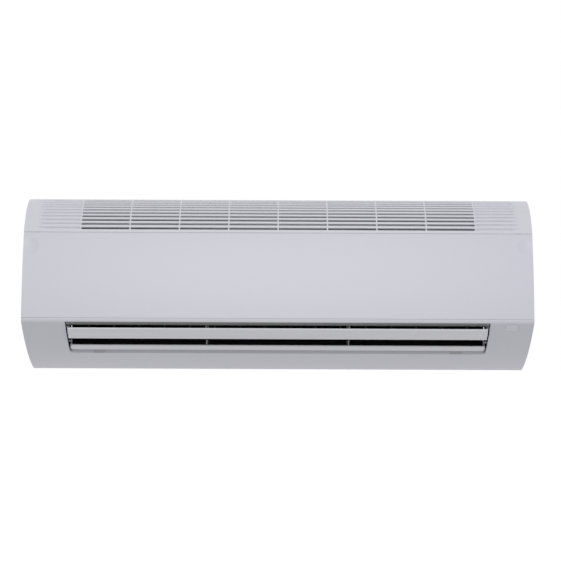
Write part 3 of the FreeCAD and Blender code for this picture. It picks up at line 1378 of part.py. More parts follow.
def louvre_pieces():
    """Both louvres, their link and motor, the upright vanes and their tie bars."""
    node(shaped("UpperLouvre", louvre(UPPER, S.upper_chord)), "upper_louvre")
    node(shaped("LowerLouvre", louvre(LOWER, S.lower_chord)), "lower_louvre")
    node(shaped("LouvreLink", louvre_link()), "louvre_link")
    centre = UPPER_PIVOT + UPPER[2] * S.stepper_offset
    start = X_AXIS * (END_OUT + S.fit_gap)
    motor = pin(centre + start, X_AXIS * S.stepper_length, S.stepper_radius)
    node(shaped("LouvreMotor", motor), "louvre_motor")
    for side in ("left", "right"):
        group = [(name, x) for name, x in vane_places() if side in name]
        for name, x in group:
            node(shaped(name.title().replace("_", ""), vane(x)), name)
        places = [x for name, x in group]
        master = places[int(S.vane_count) // 2 - 1]
        node(shaped("TieBar" + side.title(), tie_bar(places, master)), "tie_bar_" + side)


def control_pieces():
    """Control box with its cover, board and terminals, and the display board with its button."""
    outer = block("BoxOuter", "end_wall_reach + end_wall", "-box_back - box_depth", "box_rise",
                  "box_width", "box_depth", "box_height")
    inner = block("BoxInner", "end_wall_reach + end_wall + box_wall", "-box_back - box_depth + box_wall",
                  "box_rise + box_wall", "box_width", "box_depth - 2 * box_wall",
                  "box_height - 2 * box_wall")
    tray = less("BoxTray", outer, [inner])
    posts = []
    for y in ("-box_back - post_inset", "-box_back - box_depth + post_inset"):
        for z in ("box_rise + post_inset", "box_rise + box_height - post_inset"):
            posts.append(rod("Post" + str(len(posts)), X_AXIS, "end_wall_reach + end_wall", y, z,
                             "post_radius", "box_wall + post_height"))
    node(fused("ControlBox", [tray] + posts), "control_box")
    cover = block("CoverPlate", "end_wall_reach + end_wall + box_width", "-box_back - box_depth", "box_rise",
                  "box_wall", "box_depth", "box_height")
    node(cover, "control_cover")
    board = block("Board", "end_wall_reach + end_wall + box_wall + post_height",
                  "-box_back - box_depth + box_wall + fit_gap", "box_rise + box_wall + fit_gap",
                  "board_thick", "box_depth - 2 * box_wall - 2 * fit_gap",
                  "box_height - 2 * box_wall - 2 * fit_gap")
    node(board, "circuit_board")
    base = "end_wall_reach + end_wall + box_wall + post_height + board_thick"
    relay = block("Relay", base, "-box_back - box_depth + 2 * post_inset", "box_rise + 2 * post_inset",
                  "part_height", "post_inset * 2", "post_inset * 2")
    trafo = block("Transformer", base, "-box_back - box_depth / 2", "box_rise + 2 * post_inset",
                  "part_height", "post_inset * 2", "post_inset * 3")
    cap = rod("Capacitor", X_AXIS, base, "-box_back - box_depth + 3 * post_inset",
              "box_rise + box_height - 2 * post_inset", "post_inset", "part_height")
    node(grouped("BoardParts", [relay, trafo, cap]), "board_parts")
    strip = block("Terminal", base, "-box_back - 3 * post_inset", "box_rise + 2 * post_inset",
                  "part_height", "post_inset * 2", "box_height - 4 * post_inset")
    node(strip, "terminal_block")
    along = S.button_rise
    face = PANEL.outward(along)
    up = point(face.z, -face.y)
    seat = PANEL.at(along, FLOOR) + X_AXIS * S.button_reach
    centre = seat - face * S.display_gap
    flat = up * S.display_height
    side = X_AXIS * S.display_width
    corner = centre - flat * 0.5 - side * 0.5
    plate = polygon([corner, corner + side, corner + side + flat, corner + flat])
    display = plate.extrude(face * -S.board_thick)
    switch = pin(centre - face * S.fit_gap, face * (S.switch_height + S.fit_gap), S.button_radius)
    posts = []
    for sign in (-1, 1):
        root = centre + X_AXIS * (sign * S.display_post) - face * S.fit_gap
        posts.append(pin(root, face * S.display_gap, S.post_radius))
    node(shaped("DisplayBoard", display.fuse([switch] + posts)), "display_board")
    cap_top = S.wall + S.button_stand
    stem = pin(seat, face * cap_top, S.button_radius)
    collar = pin(seat - face * (S.fit_gap + S.board_thick), face * S.board_thick, S.button_radius + S.wall)
    neck = pin(seat - face * (S.fit_gap + S.board_thick), face * (S.wall + S.fit_gap), S.button_radius)
    node(shaped("ManualButton", stem.fuse([collar, neck])), "manual_button")


def export():
    """Check every object and write each piece to its own file."""
    DOCUMENT.recompute()
    for item in DOCUMENT.Objects:
        if "Invalid" in item.State or "Error" in item.State:
            raise RuntimeError("failed object " + item.Name)
    for item in NODES:
        if item.Shape.isNull() or not item.Shape.isValid() or not item.Shape.Solids:
            raise RuntimeError("bad shape " + item.Label)
    os.makedirs("parts", exist_ok=True)
    for item in NODES:
        item.Shape.exportStep("parts/" + item.Label + ".step")
    print(len(NODES), "pieces written")


wall_plate()
chassis()
drain_pan()
vane_carrier()
coil_pieces()
fan_pieces()
louvre_pieces()
control_pieces()
export()
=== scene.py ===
"""Dresses the wall-mounted air conditioner indoor unit and lights it in a plain studio."""

import json
import logging
import math
from dataclasses import dataclass
from enum import Enum
from typing import Any, Callable, Optional, Union

import bpy
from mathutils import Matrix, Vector


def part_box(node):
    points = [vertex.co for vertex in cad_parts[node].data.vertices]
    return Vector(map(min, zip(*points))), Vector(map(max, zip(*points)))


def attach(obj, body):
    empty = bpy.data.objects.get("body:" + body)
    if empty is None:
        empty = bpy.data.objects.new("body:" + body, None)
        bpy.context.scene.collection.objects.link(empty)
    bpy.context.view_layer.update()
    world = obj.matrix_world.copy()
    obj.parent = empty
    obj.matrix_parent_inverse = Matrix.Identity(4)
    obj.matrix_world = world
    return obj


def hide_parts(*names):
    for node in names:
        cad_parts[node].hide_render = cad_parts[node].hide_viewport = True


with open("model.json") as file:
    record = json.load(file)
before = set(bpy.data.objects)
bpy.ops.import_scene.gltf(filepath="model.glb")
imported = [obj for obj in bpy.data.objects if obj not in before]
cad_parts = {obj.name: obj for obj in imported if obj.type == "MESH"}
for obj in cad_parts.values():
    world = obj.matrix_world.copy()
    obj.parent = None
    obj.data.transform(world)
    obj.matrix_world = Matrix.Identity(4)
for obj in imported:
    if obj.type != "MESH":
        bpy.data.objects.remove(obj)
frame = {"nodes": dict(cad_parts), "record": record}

LOG = logging.getLogger("indoor_unit")
MID_TONE = 0.5
EDGE_SAMPLES = 6
QUARTER_TURN = math.radians(90.0)
NUT_SIDES = 6
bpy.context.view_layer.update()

Number = Union[int, float]
Triple = tuple[float, float, float]
Pair = tuple[float, float]
Paint = Union[Triple, bpy.types.NodeSocket]


class Op(Enum):
    """Arithmetic that a shader value can take part in."""

    ADD = "ADD"
    SUBTRACT = "SUBTRACT"
    MULTIPLY = "MULTIPLY"
    DIVIDE = "DIVIDE"
    MAXIMUM = "MAXIMUM"
    SINE = "SINE"
    ABSOLUTE = "ABSOLUTE"
    BELOW = "LESS_THAN"
    ABOVE = "GREATER_THAN"


class Slot(Enum):
    """Material slots of the record."""

    CASING = "casing_white"
    PANEL = "panel_white"
    LOUVRE = "louvre_white"
    CAP = "cap_grey"
    WINDOW = "window_grey"
    CHASSIS = "chassis_dark"
    CARRIER = "carrier_grey"
    VANE = "vane_plastic"
    FINS = "fin_aluminium"
    COPPER = "copper"
    BRASS = "brass"
    ZINC = "zinc_plate"
    STEEL = "steel"
    BUSH = "bush"
    RUBBER = "rubber"
    BOARD = "board_green"
    BOX = "box_plastic"
    NET = "filter_net"
    FILTER = "filter_frame"
    FAN = "fan_plastic"


class Body(Enum):
    """Bodies that the modelled pieces ride on."""

    UNIT = "unit"
    PANEL = "front_panel"
    FILTER_LEFT = "filter_left"
    FILTER_RIGHT = "filter_right"


class Shade:
    """Value socket of a shader graph that takes part in Python arithmetic."""

    def __init__(self, graph: "Graph", socket: bpy.types.NodeSocket) -> None:
        """Keep the graph and the socket.

        Args:
            graph: Graph that new Math nodes are added to.
            socket: Output socket that carries the value.
        """
        self.graph = graph
        self.socket = socket

    def _with(self, op: Op, left: Any, right: Any = 0.0) -> "Shade":
        """Add a Math node.

        Args:
            op: Operation of the node.
            left: First operand.
            right: Second operand.

        Returns:
            The node's result.
        """
        node = self.graph.add("ShaderNodeMath", {"operation": op.value}, {0: left, 1: right})
        return Shade(self.graph, node.outputs[0])

    def __add__(self, other: Any) -> "Shade":
        """Sum."""
        return self._with(Op.ADD, self, other)

    __radd__ = __add__

    def __mul__(self, other: Any) -> "Shade":
        """Product."""
        return self._with(Op.MULTIPLY, self, other)

    __rmul__ = __mul__

    def __sub__(self, other: Any) -> "Shade":
        """Difference."""
        return self._with(Op.SUBTRACT, self, other)

    def __rsub__(self, other: Any) -> "Shade":
        """Difference from a number."""
        return self._with(Op.SUBTRACT, other, self)

    def __truediv__(self, other: Any) -> "Shade":
        """Quotient."""
        return self._with(Op.DIVIDE, self, other)

    def __rtruediv__(self, other: Any) -> "Shade":
        """Quotient of a number."""
        return self._with(Op.DIVIDE, other, self)

    def highest(self, other: Any) -> "Shade":
        """Larger of two values."""
        return self._with(Op.MAXIMUM, self, other)

    def sine(self) -> "Shade":
        """Sine of the value in radians."""
        return self._with(Op.SINE, self)

    def within(self, reach: float) -> "Shade":
        """One where the value lies no further than the reach from nought, else nought."""
        return self._with(Op.BELOW, self._with(Op.ABSOLUTE, self), reach)

    def above(self, level: float) -> "Shade":
        """One where the value lies above the level, else nought."""
        return self._with(Op.ABOVE, self, level)


class Graph:
    """Node tree of a material or of the world, with one way to add a node."""

    def __init__(self, owner: Union[bpy.types.Material, bpy.types.World], output: str) -> None:
        """Empty the owner's tree and add its output.

        Args:
            owner: Material or world that the tree belongs to.
            output: Type of the output node.
        """
        owner.use_nodes = True
        self.tree = owner.node_tree
        self.tree.nodes.clear()
        self.output = self.add(output)

    def add(self, kind: str, settings: Optional[dict[str, Any]] = None,
            sockets: Optional[dict[Any, Any]] = None) -> bpy.types.Node:
        """Add a node, set it up and feed its sockets.

        Args:
            kind: Type of the node.
            settings: Properties set before the sockets are fed.
            sockets: Values, shades or sockets by input name or number.

        Returns:
            The new node.
        """
        node = self.tree.nodes.new(kind)
        for key, value in (settings or {}).items():
            setattr(node, key, value)
        for key, value in (sockets or {}).items():
            self.feed(node.inputs[key], value)
        return node

    def feed(self, target: bpy.types.NodeSocket, value: Any) -> None:
        """Link a shade or a socket to an input, or set the input's own value.

        Args:
            target: Input socket.
            value: What it gets.
        """
        if isinstance(value, Shade):
            self.tree.links.new(value.socket, target)
        elif isinstance(value, bpy.types.NodeSocket):
            self.tree.links.new(value, target)
        elif target.type == "RGBA":
            target.default_value = (*value, 1.0)
        else:
            target.default_value = value

    def show(self, shader: bpy.types.Node) -> None:
        """Send a shader to the output."""
        self.feed(self.output.inputs["Surface"], shader.outputs[0])

    def place(self) -> bpy.types.NodeSocket:
        """Object coordinates of the surface."""
        return self.add("ShaderNodeTexCoord").outputs["Object"]

    def axis(self, letter: str) -> Shade:
        """One object coordinate, in metres.

        Args:
            letter: X, Y or Z.

        Returns:
            That coordinate.
        """
        node = self.add("ShaderNodeSeparateXYZ", None, {0: self.place()})
        return Shade(self, node.outputs[letter])

    def noise(self, scale: Number, detail: Number = 2.0, stretch: Triple = (1.0, 1.0, 1.0)) -> Shade:
        """Smooth noise over the surface.

        Args:
            scale: Cells in a metre.
            detail: Octaves.
            stretch: Scale on each axis.

        Returns:
            A value from 0 to 1.
        """
        mapped = self.add("ShaderNodeMapping", None, {"Vector": self.place(), "Scale": stretch})
        node = self.add("ShaderNodeTexNoise", None,
                        {"Vector": mapped.outputs[0], "Scale": scale, "Detail": detail})
        return Shade(self, node.outputs[0])

    def cells(self, scale: Number) -> Shade:
        """Random tone of the cell that the surface lies in.

        Args:
            scale: Cells in a metre.

        Returns:
            A value from 0 to 1.
        """
        node = self.add("ShaderNodeTexVoronoi", None, {"Vector": self.place(), "Scale": scale})
        tone = self.add("ShaderNodeSeparateColor", None, {0: node.outputs["Color"]})
        return Shade(self, tone.outputs[0])

    def blend(self, factor: Shade, first: Paint, second: Paint) -> bpy.types.NodeSocket:
        """Mix of two colours.

        Args:
            factor: Share of the second colour.
            first: First colour, fixed or from a socket.
            second: Second colour, fixed or from a socket.

        Returns:
            The mixed colour.
        """
        node = self.add("ShaderNodeMix", {"data_type": "RGBA"}, {0: factor, 6: first, 7: second})
        return node.outputs[2]

    def bumped(self, height: Shade, depth: Number, edge: Number) -> bpy.types.NodeSocket:
        """Normal of a surface with fine relief and softened edges.

        Args:
            height: Relief from 0 to 1.
            depth: Height of the relief in metres.
            edge: Radius that sharp edges seem to have, in metres.

        Returns:
            The normal.
        """
        soft = self.add("ShaderNodeBevel", {"samples": EDGE_SAMPLES}, {"Radius": edge})
        sockets = {"Height": height, "Distance": depth, "Normal": soft.outputs[0]}
        return self.add("ShaderNodeBump", None, sockets).outputs[0]

    def plain_view(self) -> Shade:
        """One where the eye looks straight at a thing, in a mirror or through glass, else nought."""
        rays = self.add("ShaderNodeLightPath")
        seen = Shade(self, rays.outputs["Is Camera Ray"])
        for name in ("Is Glossy Ray", "Is Transmission Ray"):
            seen = seen.highest(Shade(self, rays.outputs[name]))
        return seen


@dataclass(frozen=True)
class Finish:
    """Look of one material slot."""

    colour: Triple
    roughness: float = 0.4
    edge: float = 0.0004

    def shifted(self, share: float) -> Triple:
        """Colour made lighter, or darker where the share is negative."""
        red, green, blue = (min(1.0, part * (1.0 + share)) for part in self.colour)
        return (red, green, blue)

    def paint(self, graph: Graph) -> dict[str, Any]:
        """Say what feeds the shader.

        Args:
            graph: Graph of the material.

        Returns:
            Values, shades or sockets by the shader's input name.
        """
        raise NotImplementedError

    def material(self, name: str) -> bpy.types.Material:
        """Build the material.

        Args:
            name: Name of the material.

        Returns:
            The material.
        """
        made = bpy.data.materials.new(name)
        graph = Graph(made, "ShaderNodeOutputMaterial")
        graph.show(graph.add("ShaderNodeBsdfPrincipled", None, self.paint(graph)))
        return made


@dataclass(frozen=True)
class MouldedPlastic(Finish):
    """Injection-moulded plastic with faint flow marks and a fine spark texture."""

    drift: float = 0.012
    grain: float = 1400.0
    relief: float = 0.000004
    flow_scale: float = 7.0
    flow_stretch: Triple = (0.5, 1.0, 1.6)
    flow_sheen: float = 0.08
    grain_sheen: float = 0.06

    def paint(self, graph: Graph) -> dict[str, Any]:
        """Flow marks in the colour, spark texture in the relief, both in the sheen."""
        flow = graph.noise(self.flow_scale, 3.0, self.flow_stretch)
        spark = graph.noise(self.grain)
        sheen = (flow - MID_TONE) * self.flow_sheen + (spark - MID_TONE) * self.grain_sheen
        return {
            "Base Color": graph.blend(flow, self.shifted(-self.drift), self.shifted(self.drift)),
            "Roughness": sheen + self.roughness,
            "Normal": graph.bumped(spark, self.relief, self.edge),
        }


@dataclass(frozen=True)
class DrawnMetal(Finish):
    """Metal with fine drawing lines along one axis and a patchy sheen."""

    stretch: Triple = (1.0, 30.0, 30.0)
    tarnish: float = 0.12
    relief: float = 0.000006
    line_scale: float = 40.0
    patch_scale: float = 25.0
    line_sheen: float = 0.2
    patch_sheen: float = 0.15

    def paint(self, graph: Graph) -> dict[str, Any]:
        """Tarnish in the colour, drawing lines in the relief, both in the sheen."""
        lines = graph.noise(self.line_scale, 3.0, self.stretch)
        patch = graph.noise(self.patch_scale, 4.0)
        sheen = (lines - MID_TONE) * self.line_sheen + (patch - MID_TONE) * self.patch_sheen
        return {
            "Base Color": graph.blend(patch, self.shifted(-self.tarnish), self.colour),
            "Metallic": 1.0,
            "Roughness": sheen + self.roughness,
            "Normal": graph.bumped(lines, self.relief, self.edge),
        }


@dataclass(frozen=True)
class CollaredTube(DrawnMetal):
    """Copper tube that the fins' collars sheathe inside the coil."""

    sheath: Triple = (0.50, 0.52, 0.54)
    reach: float = 0.3125
    level: float = -0.06

    def paint(self, graph: Graph) -> dict[str, Any]:
        """Collars in the colour where the fins are, bare metal elsewhere."""
        feeds = super().paint(graph)
        inside = graph.axis("X").within(self.reach) * graph.axis("Z").above(self.level)
        feeds["Base Color"] = graph.blend(inside, feeds["Base Color"], self.sheath)
        return feeds


@dataclass(frozen=True)
class ZincSheet(Finish):
    """Galvanised sheet with a faint crystal pattern."""

    spangle: float = 90.0
    contrast: float = 0.14
    grain: float = 600.0
    relief: float = 0.000008
    spangle_sheen: float = 0.16
    grain_sheen: float = 0.08

    def paint(self, graph: Graph) -> dict[str, Any]:
        """Crystals in the colour and the sheen, fine grain in the relief."""
        crystal = graph.cells(self.spangle)
        fine = graph.noise(self.grain)
        sheen = (crystal - MID_TONE) * self.spangle_sheen + (fine - MID_TONE) * self.grain_sheen
        return {
            "Base Color": graph.blend(crystal, self.shifted(-self.contrast), self.colour),
            "Metallic": 1.0,
            "Roughness": sheen + self.roughness,
            "Normal": graph.bumped(fine, self.relief, self.edge),
        }


@dataclass(frozen=True)
class CoatedBoard(Finish):
    """Circuit board with faint copper tracks under its lacquer."""

    across_scale: float = 1200.0
    along_scale: float = 900.0
    across_share: float = 0.6
    along_share: float = 0.75
    lift: float = 0.8
    gloss: float = 0.08
    relief: float = 0.00003
    lacquer: float = 0.3

    def tracks(self, place: Shade, scale: float, share: float) -> Shade:
        """Parallel tracks across one axis.

        Args:
            place: Coordinate that the tracks are counted along.
            scale: How close they lie.
            share: Part of the wave that stays bare.

        Returns:
            A value from 0 between the tracks to 1 on them.
        """
        return ((place * scale).sine().highest(share) - share) / (1.0 - share)

    def paint(self, graph: Graph) -> dict[str, Any]:
        """Tracks in the colour, the sheen and the relief."""
        across = self.tracks(graph.axis("Y"), self.across_scale, self.across_share)
        along = self.tracks(graph.axis("Z"), self.along_scale, self.along_share)
        lines = across.highest(along)
        return {
            "Base Color": graph.blend(lines, self.colour, self.shifted(self.lift)),
            "Roughness": self.roughness - lines * self.gloss,
            "Coat Weight": self.lacquer,
            "Normal": graph.bumped(lines, self.relief, self.edge),
        }


@dataclass(frozen=True)
class SoftRubber(Finish):
    """Moulded rubber with a bloom of pale dust."""

    bloom_scale: float = 60.0
    grain: float = 900.0
    dust: float = 1.2
    sheen: float = 0.1
    relief: float = 0.00002

    def paint(self, graph: Graph) -> dict[str, Any]:
        """Bloom in the colour and the sheen, grain in the relief."""
        bloom = graph.noise(self.bloom_scale, 4.0)
        grain = graph.noise(self.grain)
        return {
            "Base Color": graph.blend(bloom, self.colour, self.shifted(self.dust)),
            "Roughness": (bloom - MID_TONE) * self.sheen + self.roughness,
            "Normal": graph.bumped(grain, self.relief, self.edge),
        }


FINISHES: dict[Slot, Finish] = {
    Slot.CASING: MouldedPlastic((0.81, 0.805, 0.86), 0.42, 0.0004),
    Slot.PANEL: MouldedPlastic((0.775, 0.775, 0.835), 0.34, 0.0003, drift=0.01, grain=1600.0),
    Slot.LOUVRE: MouldedPlastic((0.93, 0.93, 0.95), 0.40, 0.0006),
    Slot.CAP: MouldedPlastic((0.73, 0.72, 0.73), 0.45, 0.0003),
    Slot.WINDOW: MouldedPlastic((0.85, 0.85, 0.87), 0.25, 0.0003, grain=1800.0),
    Slot.CHASSIS: MouldedPlastic((0.022, 0.022, 0.025), 0.55, drift=0.08, relief=0.00001),
    Slot.CARRIER: MouldedPlastic((0.30, 0.30, 0.30), 0.5, drift=0.04),
    Slot.VANE: MouldedPlastic((0.035, 0.035, 0.038), 0.5, drift=0.06),
    Slot.FINS: DrawnMetal((0.62, 0.64, 0.66), 0.34, 0.0001),
    Slot.COPPER: CollaredTube((0.80, 0.43, 0.28), 0.28, stretch=(1.0, 20.0, 20.0), tarnish=0.25),
    Slot.BRASS: DrawnMetal((0.80, 0.63, 0.30), 0.25, stretch=(30.0, 1.0, 1.0)),
    Slot.ZINC: ZincSheet((0.68, 0.69, 0.71), 0.42, 0.0003),
    Slot.STEEL: DrawnMetal((0.62, 0.62, 0.64), 0.28, stretch=(1.0, 40.0, 40.0)),
    Slot.BUSH: DrawnMetal((0.60, 0.49, 0.34), 0.45),
    Slot.RUBBER: SoftRubber((0.025, 0.025, 0.025), 0.78),
    Slot.BOARD: CoatedBoard((0.03, 0.16, 0.07), 0.34, 0.0002),
    Slot.BOX: MouldedPlastic((0.10, 0.10, 0.11), 0.5, drift=0.05),
    Slot.NET: MouldedPlastic((0.42, 0.45, 0.50), 0.6, 0.0001, drift=0.05),
    Slot.FILTER: MouldedPlastic((0.55, 0.58, 0.63), 0.45, drift=0.03),
    Slot.FAN: MouldedPlastic((0.05, 0.05, 0.055), 0.5, drift=0.05),
}


class Palette:
    """Materials of the unit, and the slot that the record gives each solid."""

    def __init__(self) -> None:
        """Build each finish once and read the record's slots."""
        self.materials = {slot: finish.material(slot.value) for slot, finish in FINISHES.items()}
        entries = frame["record"]["subparts"]
        self.slots = {entry["node"]: Slot(entry["material_slot"]) for entry in entries}

    def dress(self, target: bpy.types.Object, slot: Slot) -> None:
        """Give an object one finish.

        Args:
            target: Object to dress.
            slot: Material slot of the record.
        """
        target.data.materials.clear()
        target.data.materials.append(self.materials[slot])


class Bench:
    """Small steps of modelling that several pieces share."""

    @staticmethod
    def clear() -> None:
        """Deselect everything."""
        bpy.ops.object.select_all(action="DESELECT")

    @staticmethod
    def settle(name: str) -> bpy.types.Object:
        """Name the new object and put its place, turn and size into its mesh.

        Args:
            name: Name of the piece.

        Returns:
            The piece.
        """
        piece = bpy.context.object
        piece.name = name
        bpy.ops.object.transform_apply(location=True, rotation=True, scale=True)
        return piece

    @staticmethod
    def edit_edges(piece: bpy.types.Object, wanted: Callable[[Vector, Vector], bool]) -> None:
        """Enter edit mode with only the wanted edges selected.

        Args:
            piece: Active object.
            wanted: Test of an edge's two ends.
        """
        bpy.ops.object.mode_set(mode="EDIT")
        bpy.ops.mesh.select_mode(type="EDGE")
        bpy.ops.mesh.select_all(action="DESELECT")
        bpy.ops.object.mode_set(mode="OBJECT")
        points = piece.data.vertices
        for edge in piece.data.edges:
            first, second = (points[number].co for number in edge.vertices)
            edge.select = wanted(first, second)
        bpy.ops.object.mode_set(mode="EDIT")

    @staticmethod
    def row(piece: bpy.types.Object, count: int, step: Triple) -> None:
        """Repeat the active object in a row and keep the result.

        Args:
            piece: Active object.
            count: How many there are in the end.
            step: From one to the next.
        """
        repeat = piece.modifiers.new("row", "ARRAY")
        repeat.use_relative_offset = False
        repeat.use_constant_offset = True
        repeat.constant_offset_displace = step
        repeat.count = count
        bpy.ops.object.modifier_apply(modifier=repeat.name)

    @staticmethod
    def twin(piece: bpy.types.Object, name: str, step: Triple) -> bpy.types.Object:
        """Copy a piece with a mesh of its own, a step away.

        Args:
            piece: Piece to copy.
            name: Name of the copy.
            step: From the piece to the copy.

        Returns:
            The copy.
        """
        copy = piece.copy()
        copy.data = piece.data.copy()
        bpy.context.collection.objects.link(copy)
        Bench.clear()
        copy.select_set(True)
        bpy.context.view_layer.objects.active = copy
        bpy.ops.transform.translate(value=step)
        return Bench.settle(name)


@dataclass
class Assembly:
    """Group of pieces that are made and dressed together."""

    palette: Palette
    nodes: tuple[str, ...] = ()

    def dress(self) -> None:
        """Give each solid of the group the finish of its slot."""
        for name in self.nodes:
            slot = self.palette.slots[name]
            self.palette.dress(frame["nodes"][name], slot)
            LOG.info("dressed %s in %s", name, slot.value)

    def keep(self, piece: bpy.types.Object, slot: Slot, body: Body, solid: Optional[str] = None) -> None:
        """Dress a modelled piece and say where it belongs.

        Args:
            piece: Finished piece.
            slot: Its material slot.
            body: Body that carries it.
            solid: Solid whose place it takes.
        """
        self.palette.dress(piece, slot)
        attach(piece, body.value)
        if solid:
            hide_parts(solid)
        LOG.info("built %s on %s", piece.name, body.value)

    def build(self) -> None:
        """Make the group's pieces and dress them."""
        self.dress()


@dataclass
class Mounting(Assembly):
    """Wall plate, rear chassis and drain."""

    nodes: tuple[str, ...] = ("wall_plate", "rear_chassis", "drain_pan", "drain_spigot")


@dataclass
class Casing(Assembly):
    """Front frame and the small pieces set into it."""

    nodes: tuple[str, ...] = ("front_frame", "receiver_window", "screw_caps", "frame_screws")


@dataclass
class Fan(Assembly):
    """Cross-flow fan with its motor and bearing."""

    nodes: tuple[str, ...] = (
        "fan_rotor", "fan_shaft", "fan_motor", "motor_clamp", "clamp_screws", "fan_bush", "bearing_mount",
    )


@dataclass
class Controls(Assembly):
    """Control box, boards and the manual button."""

    nodes: tuple[str, ...] = (
        "control_box", "control_cover", "circuit_board", "board_parts", "terminal_block",
        "display_board", "manual_button",
    )


@dataclass
class Outlet(Assembly):
    """Louvres, upright vanes and what carries and moves them."""

    nodes: tuple[str, ...] = (
        "vane_carrier", "upper_louvre", "lower_louvre", "louvre_link", "louvre_motor",
        "tie_bar_left", "tie_bar_right",
    )
    vanes: int = 8

    def build(self) -> None:
        """Dress the louvres and every vane."""
        for side in ("left", "right"):
            self.nodes += tuple(f"vane_{side}_{count + 1}" for count in range(self.vanes))
        self.dress()


@dataclass(frozen=True)
class PanelArc:
    """Curve that the front panel and the filters behind it follow, seen from the end."""

    centre: Pair = (0.3570085, -0.1275198)
    radius: float = 0.550285
    start: float = math.radians(172.0596)

    def angle(self, along: float) -> float:
        """Angle of a place along the panel, from its foot."""
        return self.start - along / self.radius

    def spot(self, along: float, inset: float) -> Pair:
        """Section point at a place along the panel and a depth behind its face.

        Args:
            along: Way up the panel from its foot.
            inset: Depth behind the face.

        Returns:
            The Y and Z of the point.
        """
        reach = self.radius - inset
        turn = self.angle(along)
        return (self.centre[0] + reach * math.cos(turn), self.centre[1] + reach * math.sin(turn))

    def spin(self, length: float, steps: int) -> None:
        """Spin what is selected up the curve.

        Args:
            length: Way up the panel.
            steps: Number of steps.
        """
        bpy.ops.mesh.spin(
            steps=steps, angle=length / self.radius, center=(0.0, *self.centre), axis=(1.0, 0.0, 0.0),
        )


ARC = PanelArc()


@dataclass
class FrontPanel(Assembly):
    """Hinged front panel with stiffening ribs on its back."""

    nodes: tuple[str, ...] = ("front_panel", "hinge_pins")
    rib_places: tuple[float, ...] = (-0.33, -0.22, -0.11, 0.0, 0.11, 0.22, 0.33)
    rib_foot: float = 0.008
    rib_head: float = 0.125
    rib_inset: float = 0.0028
    rib_height: float = 0.0022
    rib_width: float = 0.0014
    rib_steps: int = 24
    weld: float = 0.00001

    def first_rib(self) -> bpy.types.Object:
        """Spin a small cross-section up the panel.

        Returns:
            The first rib.
        """
        y, z = ARC.spot(self.rib_foot, self.rib_inset + self.rib_height / 2)
        Bench.clear()
        bpy.ops.mesh.primitive_plane_add(
            size=1.0, location=(self.rib_places[0], y, z), rotation=(ARC.angle(self.rib_foot), 0.0, 0.0),
        )
        bpy.context.object.scale = (self.rib_width, self.rib_height, 1.0)
        rib = Bench.settle("panel_rib_1")
        bpy.ops.object.mode_set(mode="EDIT")
        bpy.ops.mesh.select_all(action="SELECT")
        ARC.spin(self.rib_head - self.rib_foot, self.rib_steps)
        bpy.ops.mesh.select_all(action="SELECT")
        bpy.ops.mesh.remove_doubles(threshold=self.weld)
        bpy.ops.mesh.normals_make_consistent(inside=False)
        bpy.ops.object.mode_set(mode="OBJECT")
        return rib

    def build(self) -> None:
        """Dress the panel and put the ribs on its back."""
        self.dress()
        first = self.first_rib()
        self.keep(first, Slot.PANEL, Body.PANEL)
        for count, place in enumerate(self.rib_places[1:], start=2):
            step = (place - self.rib_places[0], 0.0, 0.0)
            self.keep(Bench.twin(first, f"panel_rib_{count}", step), Slot.PANEL, Body.PANEL)


@dataclass
class AirFilter(Assembly):
    """One air filter: a moulded frame and a woven net that follows the panel's curve."""

    side: str = "left"
    body: Body = Body.FILTER_LEFT
    low: float = -0.3225
    high: float = -0.009
    foot: float = 0.024
    head: float = 0.100
    inset: float = 0.0110
    cell: float = 0.0032
    thread: float = 0.0005

    def weave(self) -> bpy.types.Object:
        """Spin a row of edges into a curved sheet and turn the sheet into threads.

        Returns:
            The net.
        """
        columns = round((self.high - self.low) / self.cell)
        rows = round((self.head - self.foot) / self.cell)
        y, z = ARC.spot(self.foot, self.inset)
        Bench.clear()
        bpy.ops.mesh.primitive_grid_add(
            x_subdivisions=columns, y_subdivisions=1, size=1.0,
            location=((self.low + self.high) / 2, y + self.cell / 2, z),
        )
        bpy.context.object.scale = (self.high - self.low, self.cell, 1.0)
        net = Bench.settle(f"filter_{self.side}_weave")
        middle = y + self.cell / 2
        Bench.edit_edges(net, lambda first, second: min(first.y, second.y) > middle)
        bpy.ops.mesh.delete(type="EDGE")
        bpy.ops.mesh.select_mode(type="VERT")
        bpy.ops.mesh.select_all(action="SELECT")
        ARC.spin(self.head - self.foot, rows)
        bpy.ops.object.mode_set(mode="OBJECT")
        wire = net.modifiers.new("threads", "WIREFRAME")
        wire.thickness = self.thread
        wire.use_even_offset = False
        bpy.ops.object.modifier_apply(modifier=wire.name)
        return net

    def build(self) -> None:
        """Dress the frame and weave the net."""
        self.nodes = (f"filter_{self.side}", f"filter_{self.side}_net")
        self.dress()
        self.keep(self.weave(), Slot.NET, self.body, self.nodes[1])


